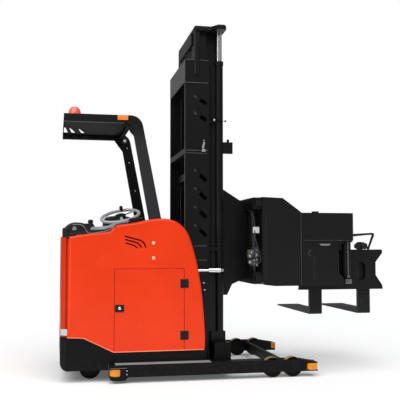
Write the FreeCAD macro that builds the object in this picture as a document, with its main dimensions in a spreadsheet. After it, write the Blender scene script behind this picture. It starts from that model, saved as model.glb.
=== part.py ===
"""Three-way stacker: a straddle-leg truck with a two-stage mast and a turning fork head.

All lengths are millimetres. +X is forward, +Y the truck's left, +Z up.
The origin is on the floor under the middle of the machine's box.
The forks stand as parked: the head at the right side, the forks pointing left.
"""
import FreeCAD
import Part
import math
import os

import Sketcher
from FreeCAD import Placement, Rotation, Vector

doc = FreeCAD.newDocument("three_way_stacker")

# Driving sizes, one group for each assembly
SIZES = {
    # Clearances and plate thicknesses used in more than one place
    "running_gap": 0.3,
    "moving_gap": 6.0,
    "panel_sheet": 6.0,
    "frame_plate": 12.0,
    # Straddle legs
    "leg_reach": 90.0,
    "leg_width": 120.0,
    "leg_bottom": 50.0,
    "leg_top": 155.0,
    "leg_setback": 2.0,
    "leg_front": 750.0,
    "leg_taper": 165.0,
    "leg_tip_top": 125.0,
    "crossbar_x": 423.0,
    "crossbar_length": 34.0,
    # Load wheels in the legs
    "load_wheel_rear_x": 343.0,
    "load_wheel_front_x": 528.0,
    "load_wheel_radius": 88.0,
    "load_wheel_width": 70.0,
    "load_axle_radius": 12.0,
    # Guide rollers at the corners of the legs
    "guide_setback": 51.0,
    "guide_inset": 30.0,
    "guide_radius": 50.0,
    "guide_bottom": 60.0,
    "guide_height": 58.0,
    "guide_pin_radius": 10.0,
    # Chassis under the body
    "floor_top": 262.0,
    "skirt_bottom": 100.0,
    "skirt_top": 266.0,
    "skirt_rear_top": 389.0,
    "toe_radius": 62.0,
    "foot_setback": 4.0,
    "foot_toe": 67.5,
    "foot_top": 150.0,
    "foot_beam_bottom": 60.0,
    "foot_block_length": 150.0,
    "foot_block_top": 297.0,
    "foot_block_outer": 170.0,
    "foot_block_inner": 60.0,
    # Orange body
    "wing_width": 159.0,
    "facet": 50.0,
    "toe_run": 36.0,
    "shoulder_run": 151.0,
    "body_front_mid_z": 593.0,
    "cowl_gap": 10.0,
    "shoulder_z": 1215.0,
    "hood_curve_run": 241.0,
    "hood_curve_rise": 190.0,
    "front_curve": 2100.0,
    "hood_curve": 226.0,
    "hood_length": 225.0,
    "hood_rear_z": 1372.0,
    "dash_length": 208.0,
    "dash_z": 1333.0,
    "dip_run": 84.0,
    "dip_z": 1281.0,
    "rail_run": 85.0,
    "rail_length": 190.0,
    "rail_z": 1259.0,
    "rear_top": 1229.0,
    "sill_front": 264.0,
    "sill_mid": 252.0,
    "sill_ease_run": 125.0,
    "sill_slope_run": 215.0,
    "sill_step_z": 272.0,
    "sill_rear_run": 147.0,
    "sill_rear_z": 379.0,
    "sill_end_z": 391.0,
    "wing_gap": 20.0,
    # Battery door in the right side
    "door_setback": 38.0,
    "door_length": 610.0,
    "door_bottom": 271.0,
    "door_top": 957.0,
    "door_gap": 5.0,
    "door_thick": 25.0,
    "vent_x": -950.0,
    "vent_z": 1230.0,
    "vent_pitch": 31.0,
    "vent_run": 164.0,
    "vent_run_step": 34.0,
    "vent_end_z": 1134.0,
    "vent_width": 10.0,
    "hinge_low_z": 341.0,
    "hinge_high_z": 788.0,
    "hinge_height": 76.0,
    "hinge_radius": 6.0,
    "hinge_leaf": 5.0,
    "battery_end_gap": 25.0,
    "battery_side_gap": 55.0,
    "battery_height": 620.0,
    # Operator's place
    "bulkhead_gap": 2.0,
    "pad_half_width": 280.0,
    "pad_bottom": 800.0,
    "pad_height": 380.0,
    "pad_thick": 45.0,
    "armrest_width": 130.0,
    "armrest_top": 1362.0,
    "wheel_setback": 87.0,
    "wheel_y": -230.0,
    "wheel_z": 1425.0,
    "wheel_radius": 172.0,
    "rim_radius": 14.0,
    "lean_back": 12.0,
    "lean_side": 18.0,
    # Overhead guard
    "guard_inset": 35.0,
    "guard_tube": 50.0,
    "guard_side": 68.0,
    "guard_top": 2298.0,
    "gusset_run": 66.0,
    "gusset_drop": 118.0,
    "gusset_thick": 10.0,
    "guard_setback": 10.0,
    "guard_bend_top_x": -815.0,
    "guard_bend_low_x": -901.0,
    "post_front_x": -655.5,
    "post_rear_x": -743.0,
    "roof_thick": 10.0,
    "roof_drop": 18.0,
    "roof_end": 12.0,
    "slot_margin": 17.0,
    "slot_pitch": 77.0,
    "slot_lean": 40.0,
    "slot_width": 30.0,
    "slot_length": 310.0,
    "beacon_setback": 100.0,
    "beacon_y": -180.0,
    "beacon_radius": 52.0,
    "beacon_height": 125.0,
    "lamp_x": -1027.0,
    "lamp_length": 94.0,
    "lamp_height": 44.0,
    # Steered drive wheel and castors
    "drive_setback": 290.0,
    "drive_radius": 112.0,
    "drive_width": 75.0,
    "castor_inset": 210.0,
    "castor_trail": 30.0,
    "castor_radius": 93.0,
    "castor_width": 50.0,
    # Outer mast
    "mast_half": 425.0,
    "mast_rear": -404.0,
    "mast_depth": 227.0,
    "mast_top": 2860.0,
    "column_setback": 74.0,
    "column_depth": 150.0,
    "column_flange": 62.0,
    "column_wall": 12.0,
    "plate_bottom": 385.0,
    "band_bottom": 2650.0,
    "window_top": 2000.0,
    "crossbar_height": 50.0,
    "crossbar_high_z": 1990.0,
    "crossbar_mid_z": 1110.0,
    "crossbar_low_z": 400.0,
    "plate_step": 4.0,
    "diagonal_first_z": 1251.0,
    "diagonal_pitch": 167.0,
    "diagonal_high_z": 2308.0,
    "diagonal_high_pitch": 154.0,
    "diagonal_run": 92.0,
    "diagonal_rise": 88.0,
    "diagonal_high_rise": 58.0,
    "diagonal_width": 36.0,
    "recess_bottom": 1026.0,
    "recess_height": 124.0,
    "recess_depth": 3.0,
    # Lift cylinders
    "cylinder_gap": 65.0,
    "cylinder_inset": 45.0,
    "cylinder_radius": 37.5,
    "cylinder_bottom": 375.0,
    "rod_radius": 28.0,
    "rod_bottom": 1000.0,
    "clamp_z": 2278.0,
    "clamp_height": 30.0,
    "switch_z": 2004.0,
    "switch_height": 104.0,
    "switch_width": 44.0,
    "switch_front": 50.0,
    "stay_z": 935.0,
    "stay_inset": 90.0,
    "stay_depth": 90.0,
    # Inner mast
    "inner_wall": 12.0,
    "inner_flange": 78.0,
    "inner_bottom": 530.0,
    "inner_rise": 270.0,
    "cap_thick": 45.0,
    "cap_overhang": 25.0,
    "cap_lobe": 75.0,
    "cap_bar_length": 410.0,
    "cap_setback": 87.0,
    "cap_nose": 44.5,
    "pulley_lead": 12.0,
    "pulley_inset": 50.0,
    "pulley_drop": 205.0,
    "pulley_radius": 45.0,
    "chain_thick": 6.0,
    "chain_width": 24.0,
    "chain_end": 1205.0,
    # Lift carriage with the traverse rails
    "carriage_inset": 125.0,
    "carriage_wall": 15.0,
    "carriage_bottom": 700.0,
    "carriage_top": 1705.0,
    "carriage_lead": 252.5,
    "stay_radius": 12.0,
    "roller_low_z": 880.0,
    "roller_high_z": 1500.0,
    "rail_half": 640.0,
    "rail_depth": 72.0,
    "rail_height": 105.0,
    "rail_low_z": 815.0,
    "rail_high_z": 1480.0,
    "rail_wall": 25.0,
    # Traversing head
    "head_overhang": 20.0,
    "head_half": 100.0,
    "head_length": 363.0,
    "head_top": 1589.0,
    "head_nose_run": 173.0,
    "head_crest_z": 1582.0,
    "head_nose_z": 1457.0,
    "head_bottom": 797.0,
    "cover_length": 514.0,
    "cover_half": 95.0,
    "cover_bottom": 1200.0,
    "cover_top": 1452.0,
    "cover_round": 45.0,
    "arm_half": 90.0,
    "arm_panel_length": 353.0,
    "arm_foot_nose": 60.0,
    "arm_groove": 3.0,
    "arm_foot_top": 850.0,
    "pivot_lead": 111.0,
    "pivot_radius": 45.0,
    # Turning fork carriage
    "fork_face": 150.0,
    "fork_plate": 40.0,
    "fork_plate_half": 413.0,
    "fork_plate_waist": 344.0,
    "fork_plate_bottom": 747.0,
    "fork_plate_top": 1118.0,
    "obround_x": 197.0,
    "obround_width": 80.0,
    "obround_height": 170.0,
    "fork_centre": 240.0,
    "fork_width": 119.0,
    "fork_thick": 42.0,
    "fork_bottom": 518.0,
    "fork_length": 1000.0,
    "fork_tip_thick": 14.0,
    "guard_bar": 18.0,
    "crossbar_drop": 110.0,
    "crossbar_step": 1250.0,
    "crossbar_mid_height": 70.0,
    "crossbar_low_height": 90.0,
    "motor_z": 1095.0,
    "motor_length": 122.0,
    "motor_radius": 32.0,
    "valve_z": 970.0,
    "valve_height": 80.0,
    "valve_depth": 58.0,
    "plate_z": 1268.0,
    "plate_height": 54.0,
}


class Size:
    """A value together with the sheet expression that gives it."""

    def __init__(self, value, text):
        self.value = value
        self.text = text

    def __add__(self, other):
        other = as_size(other)
        return Size(self.value + other.value, f"({self.text} + {other.text})")

    def __radd__(self, other):
        return as_size(other) + self

    def __sub__(self, other):
        other = as_size(other)
        return Size(self.value - other.value, f"({self.text} - {other.text})")

    def __rsub__(self, other):
        return as_size(other) - self

    def __mul__(self, other):
        other = as_size(other)
        return Size(self.value * other.value, f"({self.text} * {other.text})")

    def __rmul__(self, other):
        return as_size(other) * self

    def __truediv__(self, other):
        other = as_size(other)
        return Size(self.value / other.value, f"({self.text} / {other.text})")

    def __neg__(self):
        return Size(-self.value, f"(0 - {self.text})")


def as_size(item):
    """A bare number becomes a size whose expression is the number itself."""
    if isinstance(item, Size):
        return item
    return Size(float(item), f"({float(item)!r})")


class Sheet:
    """The document's sheet of driving sizes; each attribute is one of its sizes."""

    def __init__(self, table):
        sheet = doc.addObject("Spreadsheet::Sheet", "Sizes")
        for row, (name, value) in enumerate(table.items(), start=1):
            sheet.set(f"A{row}", name)
            sheet.set(f"B{row}", str(value))
            sheet.setAlias(f"B{row}", name)
            setattr(self, name, Size(value, f"Sizes.{name}"))


S = Sheet(SIZES)

# Across the truck, from the mast outwards
S.cylinder_y = S.mast_half - S.cylinder_inset
S.carriage_y = S.mast_half - S.carriage_inset
S.pulley_y = S.carriage_y - S.pulley_inset
S.cap_half = S.mast_half + S.cap_overhang
S.wing_inner = S.mast_half + S.wing_gap
S.skirt_y = S.wing_inner + S.wing_width
S.body_half = S.skirt_y + S.panel_sheet
S.leg_out = S.body_half + S.leg_reach
S.guide_y = S.leg_out - S.guide_inset
S.foot_block_out = S.cylinder_y + S.foot_block_outer
S.foot_block_in = S.cylinder_y - S.foot_block_inner
S.battery_half_width = S.body_half - S.battery_side_gap
S.armrest_in = S.body_half - S.armrest_width
S.guard_out = S.body_half - S.guard_inset
S.castor_y = S.body_half - S.castor_inset
S.stay_y = S.body_half - S.stay_inset
S.head_y = S.head_half - S.head_overhang - S.rail_half

# Along the body, from the mast to the rear
S.mast_front = S.mast_rear + S.mast_depth
S.column_rear = S.mast_rear + S.column_setback
S.shoulder_x = S.mast_rear - S.cowl_gap
S.body_front_mid_x = S.shoulder_x + S.shoulder_run
S.body_front_low = S.body_front_mid_x + S.toe_run
S.stay_rear = S.body_front_mid_x - S.stay_depth
S.hood_front_x = S.shoulder_x - S.hood_curve_run
S.hood_front_z = S.shoulder_z + S.hood_curve_rise
S.hood_rear_x = S.hood_front_x - S.hood_length
S.wheel_x = S.hood_rear_x - S.wheel_setback
S.dash_x = S.hood_rear_x - S.dash_length
S.bulkhead_x = S.dash_x - S.bulkhead_gap
S.dip_x = S.dash_x - S.dip_run
S.rail_x = S.dip_x - S.rail_run
S.body_rear = S.rail_x - S.rail_length - S.facet
S.sill_rear_x = S.body_rear + S.facet + S.sill_rear_run
S.sill_step_x = S.sill_rear_x + S.sill_slope_run
S.sill_mid_x = S.sill_step_x + S.sill_ease_run
S.door_rear = S.sill_step_x + S.door_setback
S.door_front = S.door_rear + S.door_length
S.guard_rear = S.body_rear + S.guard_setback
S.beacon_x = S.guard_rear + S.beacon_setback
S.drive_x = S.body_rear + S.drive_setback
S.leg_rear = S.sill_step_x - S.leg_setback
S.guide_rear_x = S.leg_rear + S.guide_setback
S.guide_front_x = S.leg_front - S.guide_radius

# From the mast forwards to the fork head
S.inner_top = S.mast_top + S.inner_rise
S.cylinder_x = S.mast_front + S.cylinder_gap + S.cylinder_radius
S.foot_rear = S.mast_rear + S.foot_setback
S.foot_front = S.cylinder_x + S.foot_toe
S.foot_block_rear = S.foot_front - S.foot_block_length
S.cap_rear = S.mast_rear + S.cap_setback
S.cap_front = S.cylinder_x + S.cap_nose
S.pulley_x = S.mast_front + S.pulley_lead
S.pulley_z = S.inner_top - S.pulley_drop
S.carriage_front = S.cylinder_x + S.carriage_lead
S.head_back = S.carriage_front + S.rail_depth + S.moving_gap
S.head_front = S.head_back + S.head_length
S.head_crest_x = S.head_front - S.head_nose_run
S.cover_front = S.head_front + S.cover_length
S.arm_panel_front = S.head_front + S.arm_panel_length
S.pivot_x = S.arm_panel_front + S.pivot_lead
S.arm_foot_front = S.pivot_x + S.arm_foot_nose
doc.recompute()

nodes = []


def bind(item, prop, size):
    """Set a property and tie it to its expression."""
    item.setExpression(prop, as_size(size).text)


def place(item, x, y, z):
    """Put an object's origin at three sizes."""
    bind(item, "Placement.Base.x", x)
    bind(item, "Placement.Base.y", y)
    bind(item, "Placement.Base.z", z)
    return item


def box(name, x_span, y_span, z_span):
    """A block between two sizes on each axis."""
    item = doc.addObject("Part::Box", name)
    bind(item, "Length", x_span[1] - as_size(x_span[0]))
    bind(item, "Width", y_span[1] - as_size(y_span[0]))
    bind(item, "Height", z_span[1] - as_size(z_span[0]))
    return place(item, x_span[0], y_span[0], z_span[0])


TURNS = {
    "X": Rotation(Vector(0, 1, 0), 90),
    "Y": Rotation(Vector(1, 0, 0), -90),
    "Z": Rotation(),
}


def rod(name, axis, start, length, radius):
    """A round bar from a start point along one axis."""
    item = doc.addObject("Part::Cylinder", name)
    item.Placement = Placement(Vector(), TURNS[axis])
    bind(item, "Radius", radius)
    bind(item, "Height", length)
    return place(item, *start)


def union(name, items):
    """Several solids fused into one object."""
    item = doc.addObject("Part::MultiFuse", name)
    item.Shapes = items
    return item


def group(name, items):
    """Several separate solids kept in one object."""
    item = doc.addObject("Part::Compound", name)
    item.Links = items
    return item


def cut(name, base, tools):
    """A base with one or more tools taken out of it."""
    item = doc.addObject("Part::Cut", name)
    item.Base = base
    item.Tool = tools[0] if len(tools) == 1 else union(name + "_tools", tools)
    return item


def mirrored(name, source):
    """The same piece on the other side of the truck's middle plane."""
    item = doc.addObject("Part::Mirroring", name)
    item.Source = source
    item.Base = Vector(0, 0, 0)
    item.Normal = Vector(0, 1, 0)
    return item


def hypot(first, second):
    """The length of the slope over two sizes at right angles."""
    first, second = as_size(first), as_size(second)
    return Size(math.hypot(first.value, second.value), f"sqrt({first.text}^2 + {second.text}^2)")


def arc_centre(start, end, radius, side):
    """The centre of the arc that leaves its chord on the given side (+1 left, -1 right)."""
    middle = (start + end) * 0.5
    chord = end - start
    half = chord.Length / 2
    reach = math.sqrt(max(radius * radius - half * half, 0.0))
    across = Vector(-chord.y, chord.x, 0).normalize()
    return middle + across * (reach * side)


def draw(sketch, outline):
    """Draw a closed outline of lines and arcs, each corner tied to its two sizes.

    A corner is (u, v), or (u, v, radius, side) when the edge to the next corner is an
    arc: side +1 has its centre left of the way along, -1 right of it.
    """
    first = sketch.GeometryCount
    points = [Vector(as_size(c[0]).value, as_size(c[1]).value, 0) for c in outline]
    for index, corner in enumerate(outline):
        start = points[index]
        end = points[(index + 1) % len(points)]
        if len(corner) == 2:
            sketch.addGeometry(Part.LineSegment(start, end), False)
            continue
        radius = as_size(corner[2]).value
        side = corner[3]
        centre = arc_centre(start, end, radius, side)
        circle = Part.Circle(centre, Vector(0, 0, 1), radius)
        low, high = (start, end) if side > 0 else (end, start)
        angles = [math.atan2(p.y - centre.y, p.x - centre.x) for p in (low, high)]
        sketch.addGeometry(Part.ArcOfCircle(circle, angles[0], angles[1]), False)
    for index, corner in enumerate(outline):
        edge = first + index
        following = first + (index + 1) % len(outline)
        after = outline[(index + 1) % len(outline)]
        end_mark = 1 if len(corner) == 4 and corner[3] < 0 else 2
        start_mark = 2 if len(after) == 4 and after[3] < 0 else 1
        sketch.addConstraint(Sketcher.Constraint("Coincident", edge, end_mark, following, start_mark))
    for index, corner in enumerate(outline):
        mark = 2 if len(corner) == 4 and corner[3] < 0 else 1
        for kind, size in (("DistanceX", corner[0]), ("DistanceY", corner[1])):
            size = as_size(size)
            number = sketch.addConstraint(
                Sketcher.Constraint(kind, -1, 1, first + index, mark, size.value))
            bind(sketch, f"Constraints[{number}]", size)
        if len(corner) == 4:
            radius = as_size(corner[2])
            number = sketch.addConstraint(
                Sketcher.Constraint("Radius", first + index, radius.value))
            bind(sketch, f"Constraints[{number}]", radius)


def draw_circle(sketch, centre, radius):
    """Draw a circle tied to its centre and radius."""
    centre = [as_size(c) for c in centre]
    radius = as_size(radius)
    middle = Vector(centre[0].value, centre[1].value, 0)
    edge = sketch.addGeometry(Part.Circle(middle, Vector(0, 0, 1), radius.value), False)
    ties = (
        (Sketcher.Constraint("DistanceX", -1, 1, edge, 3, centre[0].value), centre[0]),
        (Sketcher.Constraint("DistanceY", -1, 1, edge, 3, centre[1].value), centre[1]),
        (Sketcher.Constraint("Radius", edge, radius.value), radius),
    )
    for constraint, size in ties:
        bind(sketch, f"Constraints[{sketch.addConstraint(constraint)}]", size)


def new_sketch(body, plane, offset):
    """A sketch on one of the body's own planes, moved along the plane's normal."""
    sketch = body.newObject("Sketcher::SketchObject", body.Name + "_sketch")
    support = [f for f in body.Origin.OriginFeatures if f.Role == plane + "_Plane"][0]
    sketch.AttachmentSupport = [(support, "")]
    sketch.MapMode = "FlatFace"
    bind(sketch, "AttachmentOffset.Base.z", offset)
    return sketch


def round_corners(body, feature, plane, rounds):
    """Round the upright edges of a pad at the given corners, one radius at a time."""
    for number, (corners, radius) in enumerate(rounds):
        doc.recompute()
        wanted = [(as_size(u).value, as_size(v).value) for u, v in corners]
        names = []
        for index, edge in enumerate(feature.Shape.Edges, start=1):
            ends = [flat(vertex.Point, plane) for vertex in edge.Vertexes]
            if len(ends) != 2 or math.dist(ends[0], ends[1]) > 0.01:
                continue
            if any(math.dist(ends[0], corner) < 0.01 for corner in wanted):
                names.append(f"Edge{index}")
        fillet = body.newObject("PartDesign::Fillet", f"{body.Name}_round{number}")
        fillet.Base = (feature, names)
        bind(fillet, "Radius", radius)
        body.Tip = fillet
        feature = fillet
    return feature


def flat(point, plane):
    """A point's two coordinates in a plane."""
    pairs = {"XY": (point.x, point.y), "XZ": (point.x, point.z), "YZ": (point.y, point.z)}
    return pairs[plane]


def plate(name, plane, outline, span, rounds=(), holes=(), circles=()):
    """A flat piece: an outline in one plane, thick from one size to another."""
    body = doc.addObject("PartDesign::Body", name)
    offset = -as_size(span[1]) if plane == "XZ" else span[0]
    sketch = new_sketch(body, plane, offset)
    draw(sketch, outline)
    for hole in holes:
        draw(sketch, hole)
    for centre_u, centre_v, radius in circles:
        draw_circle(sketch, (centre_u, centre_v), radius)
    pad = body.newObject("PartDesign::Pad", name + "_pad")
    pad.Profile = sketch
    bind(pad, "Length", span[1] - as_size(span[0]))
    body.Tip = pad
    round_corners(body, pad, plane, rounds)
    return body


def bent_hole(name, points, y_span, width):
    """A tool for a round-ended hole along a bent line: a rod at each point, and flats between them."""
    half = as_size(width) / 2
    pieces = []
    for number, (x, z) in enumerate(points):
        pieces.append(rod(f"{name}_end{number}", "Y", (x, y_span[0], z), y_span[1] - as_size(y_span[0]), half))
    for number, (start, end) in enumerate(zip(points[:-1], points[1:])):
        run = as_size(end[0]) - start[0]
        rise = as_size(end[1]) - start[1]
        length = hypot(run, rise)
        off_x = rise * half / length
        off_z = run * half / length
        pieces.append(plate(f"{name}_flat{number}", "XZ", [
            (start[0] + off_x, start[1] - off_z), (end[0] + off_x, end[1] - off_z),
            (end[0] - off_x, end[1] + off_z), (start[0] - off_x, start[1] + off_z),
        ], y_span))
    return union(name, pieces)


def turned(name, axis, centre, profile):
    """A turned piece: an outline of (radius, height) swept round an axis."""
    body = doc.addObject("PartDesign::Body", name)
    sketch = new_sketch(body, "XZ", 0)
    draw(sketch, profile)
    sweep = body.newObject("PartDesign::Revolution", name + "_turn")
    sweep.Profile = sketch
    sweep.ReferenceAxis = (sketch, ["V_Axis"])
    sweep.Angle = 360.0
    body.Tip = sweep
    body.Placement = Placement(Vector(), TURNS[axis])
    return place(body, *centre)


def rectangle(u_span, v_span):
    """The four corners of a rectangle."""
    return [(u_span[0], v_span[0]), (u_span[1], v_span[0]),
            (u_span[1], v_span[1]), (u_span[0], v_span[1])]


def node(name, item):
    """Name a finished sub-part; its label names its file."""
    item.Label = name
    nodes.append((name, item))
    return item


def wheel(name, axis, centre, radius, width, bore, dish):
    """A wheel about its own middle: tread with eased edges, dished sides and a hub bore."""
    half = width / 2
    ease = width * 0.12
    hub = bore + 16.0
    rim = radius * 0.72
    profile = [
        (bore, -half), (hub, -half), (hub + dish, dish - half), (rim - dish, dish - half),
        (rim, -half), (radius - ease, -half), (radius, ease - half),
        (radius, half - ease), (radius - ease, half), (rim, half),
        (rim - dish, half - dish), (hub + dish, half - dish), (hub, half), (bore, half),
    ]
    return turned(name, axis, centre, profile)


def straddle_legs():
    """Two box legs, open for the load wheels and notched for the guide rollers."""
    leg_in = S.leg_out - S.leg_width
    middle = -(S.leg_out + leg_in) / 2
    beam = plate("leg_beam", "XZ", [
        (S.leg_rear, S.leg_bottom), (S.leg_front, S.leg_bottom),
        (S.leg_front, S.leg_tip_top), (S.leg_front - S.leg_taper, S.leg_top),
        (S.leg_rear, S.leg_top),
    ], (-S.leg_out, -leg_in))
    half_slot = S.load_wheel_width / 2 + S.moving_gap
    reach = S.load_wheel_radius + S.moving_gap
    slot = box("leg_wheel_slot",
               (S.load_wheel_rear_x - reach, S.load_wheel_front_x + reach),
               (middle - half_slot, middle + half_slot),
               (S.leg_bottom - 1, S.leg_top + 1))
    roll = S.guide_radius + S.moving_gap
    notch_z = (S.guide_bottom - 2, S.guide_bottom + S.guide_height + 2)
    notch_y = (-S.leg_out - 1, roll - S.guide_y)
    front_notch = box("leg_front_notch", (S.guide_front_x - roll, S.leg_front + 1), notch_y, notch_z)
    rear_notch = box("leg_rear_notch", (S.leg_rear - 1, S.guide_rear_x + roll), notch_y, notch_z)
    open_beam = cut("leg_open_beam", beam, [slot, front_notch, rear_notch])
    pieces = [open_beam]
    for place_name, x in (("rear", S.load_wheel_rear_x), ("front", S.load_wheel_front_x)):
        start = (x, -S.leg_out + 4, S.load_wheel_radius)
        pieces.append(rod(f"load_axle_{place_name}", "Y", start, S.leg_width - 8, S.load_axle_radius))
    for place_name, x in (("rear", S.guide_rear_x), ("front", S.guide_front_x)):
        start = (x, -S.guide_y, S.leg_bottom)
        height = S.guide_bottom + S.guide_height + 4 - S.leg_bottom
        pieces.append(rod(f"guide_pin_{place_name}", "Z", start, height, S.guide_pin_radius))
    right = node("leg_right", union("leg_right", pieces))
    node("leg_left", mirrored("leg_left", right))
    node("leg_crossbar", box("leg_crossbar", (S.crossbar_x, S.crossbar_x + S.crossbar_length),
                             (-leg_in, leg_in), (S.leg_bottom + 10, S.leg_top - 8)))
    for x_name, x in (("rear", S.load_wheel_rear_x), ("front", S.load_wheel_front_x)):
        for side_name, side in (("right", 1), ("left", -1)):
            name = f"load_wheel_{x_name}_{side_name}"
            node(name, wheel(name, "Y", (x, middle * side, S.load_wheel_radius), S.load_wheel_radius,
                             S.load_wheel_width, S.load_axle_radius + S.running_gap, 6.0))
    for x_name, x in (("rear", S.guide_rear_x), ("front", S.guide_front_x)):
        for side_name, side in (("right", -1), ("left", 1)):
            name = f"guide_roller_{x_name}_{side_name}"
            centre_z = S.guide_bottom + S.guide_height / 2
            node(name, wheel(name, "Z", (x, S.guide_y * side, centre_z), S.guide_radius,
                             S.guide_height, S.guide_pin_radius + S.running_gap, 3.0))


MITRE = math.tan(math.radians(22.5))


def rear_wrap(name, thickness, side_y, z_span):
    """A band round the rear of the body with a flat facet at each corner."""
    facet_x = S.body_rear + S.facet
    corner_y = S.body_half - S.facet
    inset = corner_y - thickness * MITRE
    outline = [
        (facet_x, -side_y), (facet_x, -S.body_half), (S.body_rear, -corner_y),
        (S.body_rear, corner_y), (facet_x, S.body_half), (facet_x, side_y),
        (S.body_rear + thickness, inset), (S.body_rear + thickness, -inset),
    ]
    return plate(name, "XY", outline, z_span)


def chassis_base():
    """Floor plate on side skirts, and the beam with blocks that the mast stands on."""
    skirt_in = S.skirt_y - S.frame_plate
    front = S.body_front_low - S.frame_plate
    floor_low = S.floor_top - S.frame_plate
    full_floor = box("full_floor", (S.body_rear + S.frame_plate, front), (-skirt_in, skirt_in),
                     (floor_low, S.floor_top))
    mast_bay = box("mast_bay", (S.shoulder_x, front + 1), (-S.wing_inner, S.wing_inner),
                   (floor_low - 1, S.floor_top + 1))
    floor = cut("floor_plate", full_floor, [mast_bay])
    step = S.leg_rear - 5
    skirt = plate("skirt_right", "XZ", [
        (S.body_rear + S.facet, S.skirt_bottom), (step, S.skirt_bottom), (step, S.leg_top),
        (front, S.leg_top), (front, S.skirt_top - 4), (S.sill_mid_x, S.sill_mid + 6),
        (S.sill_step_x, S.sill_step_z), (S.sill_rear_x, S.sill_rear_z), (S.body_rear + S.facet, S.skirt_rear_top),
    ], (-S.skirt_y, -skirt_in))
    rear = rear_wrap("rear_skirt", S.frame_plate, skirt_in, (S.skirt_bottom, S.skirt_rear_top))
    square_base = union("square_base", [floor, skirt, mirrored("skirt_left", skirt), rear])
    toe = plate("skirt_toe", "XZ", [
        (S.body_rear - 1, S.skirt_bottom - 1), (S.body_rear + S.toe_radius, S.skirt_bottom - 1),
        (S.body_rear + S.toe_radius, S.skirt_bottom, S.toe_radius, -1),
        (S.body_rear, S.skirt_bottom + S.toe_radius), (S.body_rear - 1, S.skirt_bottom + S.toe_radius),
    ], (-S.body_half - 1, S.body_half + 1))
    node("base_frame", cut("base_frame", square_base, [toe]))
    leg_in = S.leg_out - S.leg_width
    beam = box("foot_beam", (S.foot_rear, S.foot_front), (-leg_in, leg_in),
               (S.foot_beam_bottom, S.foot_top))
    block = box("foot_block_right", (S.foot_block_rear, S.foot_front),
                (-S.foot_block_out, -S.foot_block_in), (S.foot_top, S.foot_block_top))
    node("mast_foot", union("mast_foot", [beam, block, mirrored("foot_block_left", block)]))


def front_edge():
    """The body's curved front edge from the sill up to the top of the hood."""
    return [
        (S.body_front_low, S.sill_front + 20), (S.body_front_mid_x, S.body_front_mid_z, S.front_curve, 1),
        (S.shoulder_x, S.shoulder_z, S.hood_curve, 1), (S.hood_front_x, S.hood_front_z),
    ]


def hinge_halves(owner, side):
    """One half of both door hinges: a leaf, and a knuckle on the hinge line.

    The panel's half (side +1) lies in front of the hinge line and has the lower knuckle;
    the door's half (side -1) lies behind it and has the upper one.
    """
    pieces = []
    line_y = -S.body_half - S.hinge_radius - 2
    leaf_y = (-S.body_half - S.hinge_leaf, -S.body_half)
    half = S.hinge_height / 2
    for level, z in (("low", S.hinge_low_z), ("high", S.hinge_high_z)):
        start = z if side > 0 else z + half + S.running_gap
        knuckle_z = (start, start + half - S.running_gap)
        near, far, tip = (S.door_front + 8 * side, S.door_front + 38 * side, S.door_front)
        leaf_x = (near, far) if side > 0 else (far, near)
        tongue_x = (tip, near) if side > 0 else (near, tip)
        pieces.append(box(f"{owner}_leaf_{level}", leaf_x, leaf_y, (z, z + S.hinge_height)))
        pieces.append(box(f"{owner}_tongue_{level}", tongue_x, leaf_y, knuckle_z))
        pieces.append(rod(f"{owner}_knuckle_{level}", "Z", (tip, line_y, start),
                          half - S.running_gap, S.hinge_radius))
    return pieces


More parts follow.
